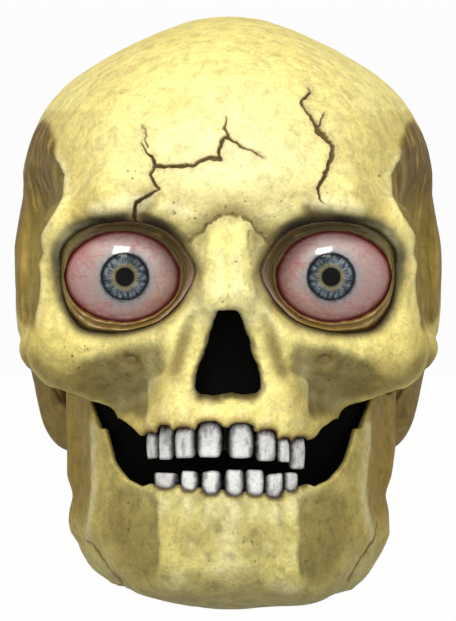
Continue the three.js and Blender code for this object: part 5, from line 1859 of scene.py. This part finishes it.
def block(name, node, outline, y_front, y_back, material, body):
    """A flat plate with rounded edges, from an outline in x and z."""
    outline = smooth_loop(outline, 96)
    middle = outline.mean(0)
    rows = []
    for y, inset in ((y_front, 0.5), (y_front, 0.35), (y_front + 0.15, 0.1), ((y_front + y_back) / 2, 0),
                     (y_back - 0.15, 0.1), (y_back, 0.35), (y_back, 0.5)):
        shrunk = middle + (outline - middle) * (1 - inset / 12)
        rows.append([(x, y, z) for x, z in shrunk])
    points, faces = loft(rows)
    make_object(name, points, faces, material, body, node=node)


keeper_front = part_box("strap_keeper")[0].y * 1000 + ORIGIN[1]
keeper = [(-12, 148.5), (-11, 148), (11, 148), (12, 148.5), (12, 165), (12, 181.5), (11, 182), (-11, 182),
          (-12, 181.5), (-12, 165)]
block("keeper_square", "strap_keeper", keeper, keeper_front, keeper_front + 1.2, elastic, "cranium")
back_face = end_y + STRAP_THICK / 2 + 0.1
corners = [(-7.5, back_face, 157), (7.5, back_face, 157), (7.5, back_face, 174), (-7.5, back_face, 174)]
stitch_box("stitches_crown_end", corners, (0, 1, 0), "cranium")
front_face = keeper_front - 0.1
corners = [(-9, front_face, 151), (9, front_face, 151), (9, front_face, 179), (-9, front_face, 179)]
stitch_box("stitches_keeper", corners, (0, -1, 0), "cranium")


def patch(name, node, centre, across, up, out, half_sizes, body):
    """A glued latex patch with a soft edge that follows the wall."""
    rings, spokes = 14, 80
    wall, back, share = liner_grid(CRANIUM_FORM, centre, across, up, out, half_sizes, rings, spokes, 1.8)
    rows = [wall[i] + (back[i] - wall[i]) * (0.5 * s ** 8) for i, s in enumerate(share)]
    rows += [back[i] + (wall[i] - back[i]) * (0.5 * share[i] ** 8) for i in range(rings - 1, -1, -1)]
    points, faces = loft(rows)
    make_object(name, points, facing_out(points, faces), patch_latex, body, node=node)


patch("patch_top", "top_strap_patch", (0, -15, 240), X, Y, Z, (15, 11), "cranium")
for side_name, side in SIDES.items():
    patch(f"patch_{side_name}", f"strap_patch_{side_name}", (side * 60, -15, STRAP_Z), Y, Z, (side, 0, 0),
          (11, 18), "cranium")


SLIDER_X = 38


def build_slider():
    """The three-bar slider that shortens the rear strap."""
    y0, y1 = STRAP_Y - STRAP_THICK / 2 - 0.7, STRAP_Y + STRAP_THICK / 2 + 0.7
    z0, z1 = STRAP_Z - STRAP_WIDE / 2 - 0.7, STRAP_Z + STRAP_WIDE / 2 + 0.7
    loop = []
    corners = ((y0 - 1, z0 - 1, -1, -1), (y1 + 1, z0 - 1, 1, -1), (y1 + 1, z1 + 1, 1, 1),
               (y0 - 1, z1 + 1, -1, 1))
    for y, z, ny, nz in corners:
        for turn in np.linspace(0, 1, 5):
            start = math.atan2(nz, ny) - math.pi / 4
            a = start + turn * math.pi / 2
            out_y, out_z = math.cos(a), math.sin(a)
            loop.append((y + 0.9 * (out_y - ny * 0.9), z + 0.9 * (out_z - nz * 0.9), out_y, out_z))
    rows = []
    for y, z, ny, nz in loop:
        row = []
        for a in full_turn(24):
            u = rounded(math.cos(a), 0.45)
            v = rounded(math.sin(a), 0.45)
            row.append((SLIDER_X + 8 * u, y + ny * v, z + nz * v))
        rows.append(row)
    points, faces = loft(rows, is_ring=True)
    make_object("slider_loop", points, facing_out(points, faces), buckle_plastic, "slider",
                node="strap_slider")
    for i, x in enumerate((SLIDER_X - 5.4, SLIDER_X, SLIDER_X + 5.4), 1):
        rows = []
        for z in np.linspace(z0 + 2, z1 - 2, 30):
            pinch = math.sqrt(max(0.05, 1 - (2 * (z - STRAP_Z) / (z1 - z0 - 3.9)) ** 8))
            row = [(x + 1.1 * pinch * math.cos(a), y1 + 1.95 + 0.55 * pinch * math.sin(a), z)
                   for a in full_turn(12)]
            rows.append(row)
        points, faces = loft(rows)
        make_object(f"slider_rib_{i}", points, faces, buckle_plastic, "slider")


build_slider()


# ---------------------------------------------------------------- jaw pivots

def pivot_piece(name, node, profile, material, side, is_smooth=True, is_ring=False):
    """A piece turned about the hinge's x axis, from (x, radius) pairs; a negative radius is hexagonal."""
    rows = []
    turn = full_turn(64)
    for x, r in profile:
        radius = np.full(len(turn), abs(r))
        if r < 0:
            radius = abs(r) / np.cos((turn % (math.pi / 3)) - math.pi / 6) * 0.93
        y, z = HINGE_Y + radius * np.cos(turn), HINGE_Z + radius * np.sin(turn)
        rows.append(np.stack([np.full(len(turn), side * x), y, z], 1))
    points, faces = loft(rows, is_ring)
    make_object(name, points, facing_out(points, faces), material, "cranium", is_smooth=is_smooth,
                node=node)


def refinish(node, material):
    """Gives a CAD node that stays in sight a material of this scene."""
    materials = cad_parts[node].data.materials
    materials.clear()
    materials.append(material)


PLATE = [(86.4, 0.2), (86.4, 6.9), (86.55, 7.2), (87.5, 7.2), (87.9, 6.95), (88.0, 6.4), (88.0, 4.4),
         (88.05, 4.1), (88.5, 3.9), (88.9, 3.3), (89.1, 2.4), (89.15, 1.5), (88.75, 1.3), (88.7, 0.2)]
PIN = [(75.8, 0.2), (75.8, 2.9), (76.1, 3.2), (85.8, 3.2), (86.1, 2.9), (86.1, 0.2)]
CAP = [(73, 0.2), (73, -5.4), (73.3, -5.9), (75.2, -5.9), (75.5, -5.5), (75.5, 0.2)]
BUSH = [(78.9, 3.7), (78.9, 5.3), (79.2, 5.6), (81.4, 5.6), (81.6, 5.3), (82.2, 5.3), (82.4, 5.6), (85.8, 5.6),
        (86.1, 5.3), (86.1, 3.7)]
for side_name, side in SIDES.items():
    pivot_piece(f"rivet_plate_{side_name}", f"pivot_plate_{side_name}", PLATE, steel, side)
    pivot_piece(f"rivet_pin_{side_name}", f"pivot_pin_{side_name}", PIN, steel, side)
    pivot_piece(f"rivet_cap_{side_name}", f"pivot_cap_{side_name}", CAP, steel, side, is_smooth=False)
    pivot_piece(f"rivet_bush_{side_name}", f"pivot_bush_{side_name}", BUSH, nylon, side, is_ring=True)
    refinish(f"jaw_hinge_arm_{side_name}", nylon)
    refinish(f"eye_retainer_{side_name}", buckle_plastic)


# ---------------------------------------------------------------- floor and light

def build_floor():
    """A pale disc well under the mask. It glows faintly, and is left out of what the mask reflects."""
    f = Finish("pale_floor")
    shade = f.ramp(f.noise(400, 3), [(0.3, "#4a4846"), (0.7, "#4e4c4a")])
    normal, rough = f.bump(f.noise(20, 3), 0.3), f.ramp(f.noise(60, 3), [(0.3, 0.8), (0.7, 0.9)])
    material = f.finish(shade, normal, rough, Specular_IOR_Level=0.1, Emission_Color=(1, 1, 1, 1),
                        Emission_Strength=0.94)
    height, turn = cad_box[0].z - 0.045, full_turn(96)
    rows = []
    for radius in (0.001, 0.3, 0.6, 1, 2, 4, 8, 16, 32, 48):
        row = np.stack([radius * np.cos(turn), radius * np.sin(turn), np.full(len(turn), height)], 1)
        rows.append(row * 1000 + ORIGIN)
    faces = loft_faces(len(rows), len(turn), has_caps=False)
    floor = make_object("floor", np.concatenate(rows), faces, material, None)
    floor.visible_diffuse = floor.visible_glossy = False


def softbox(name, place, aim, size, power, shade="#ffffff", is_reflected=False):
    light = bpy.data.lights.new(name, "AREA")
    light.shape = "RECTANGLE"
    light.size, light.size_y = size
    light.energy = power
    light.color = colour(shade)
    lamp = bpy.data.objects.new(name, light)
    bpy.context.scene.collection.objects.link(lamp)
    lamp.location = place
    lamp.visible_glossy = is_reflected
    lamp.rotation_euler = (Vector(aim) - Vector(place)).to_track_quat("-Z", "Y").to_euler()


build_floor()
softbox("key", (-0.14, -0.66, 0.98), (0, 0, -0.08), (0.42, 0.52), 7.8, "#fff8ec", True)
softbox("fill_left", (-1.7, -2.2, 0.3), (0, 0, -0.08), (1.6, 1.6), 36)
softbox("fill_right", (1.7, -2.3, 0.2), (0, 0, -0.08), (1.6, 1.6), 32)
softbox("fill_low", (0.1, -2.4, -1.3), (0, 0, -0.12), (2.0, 1.0), 44)
softbox("rear", (0.8, 1.9, 1.3), (0, 0, -0.08), (1.0, 1.0), 16)

world = bpy.data.worlds.new("studio")
bpy.context.scene.world = world
world.use_nodes = True
nodes, links = world.node_tree.nodes, world.node_tree.links
room = nodes["Background"]
room.inputs["Color"].default_value = (1.0, 0.97, 0.90, 1)
room.inputs["Strength"].default_value = 0.42
paper = nodes.new("ShaderNodeBackground")
paper.inputs["Color"].default_value = (1, 1, 1, 1)
paper.inputs["Strength"].default_value = 0.98
ray = nodes.new("ShaderNodeLightPath")
seen = nodes.new("ShaderNodeMixShader")
links.new(ray.outputs["Is Camera Ray"], seen.inputs["Fac"])
links.new(room.outputs["Background"], seen.inputs[1])
links.new(paper.outputs["Background"], seen.inputs[2])
links.new(seen.outputs["Shader"], nodes["World Output"].inputs["Surface"])
bpy.context.scene.view_settings.view_transform = "Standard"
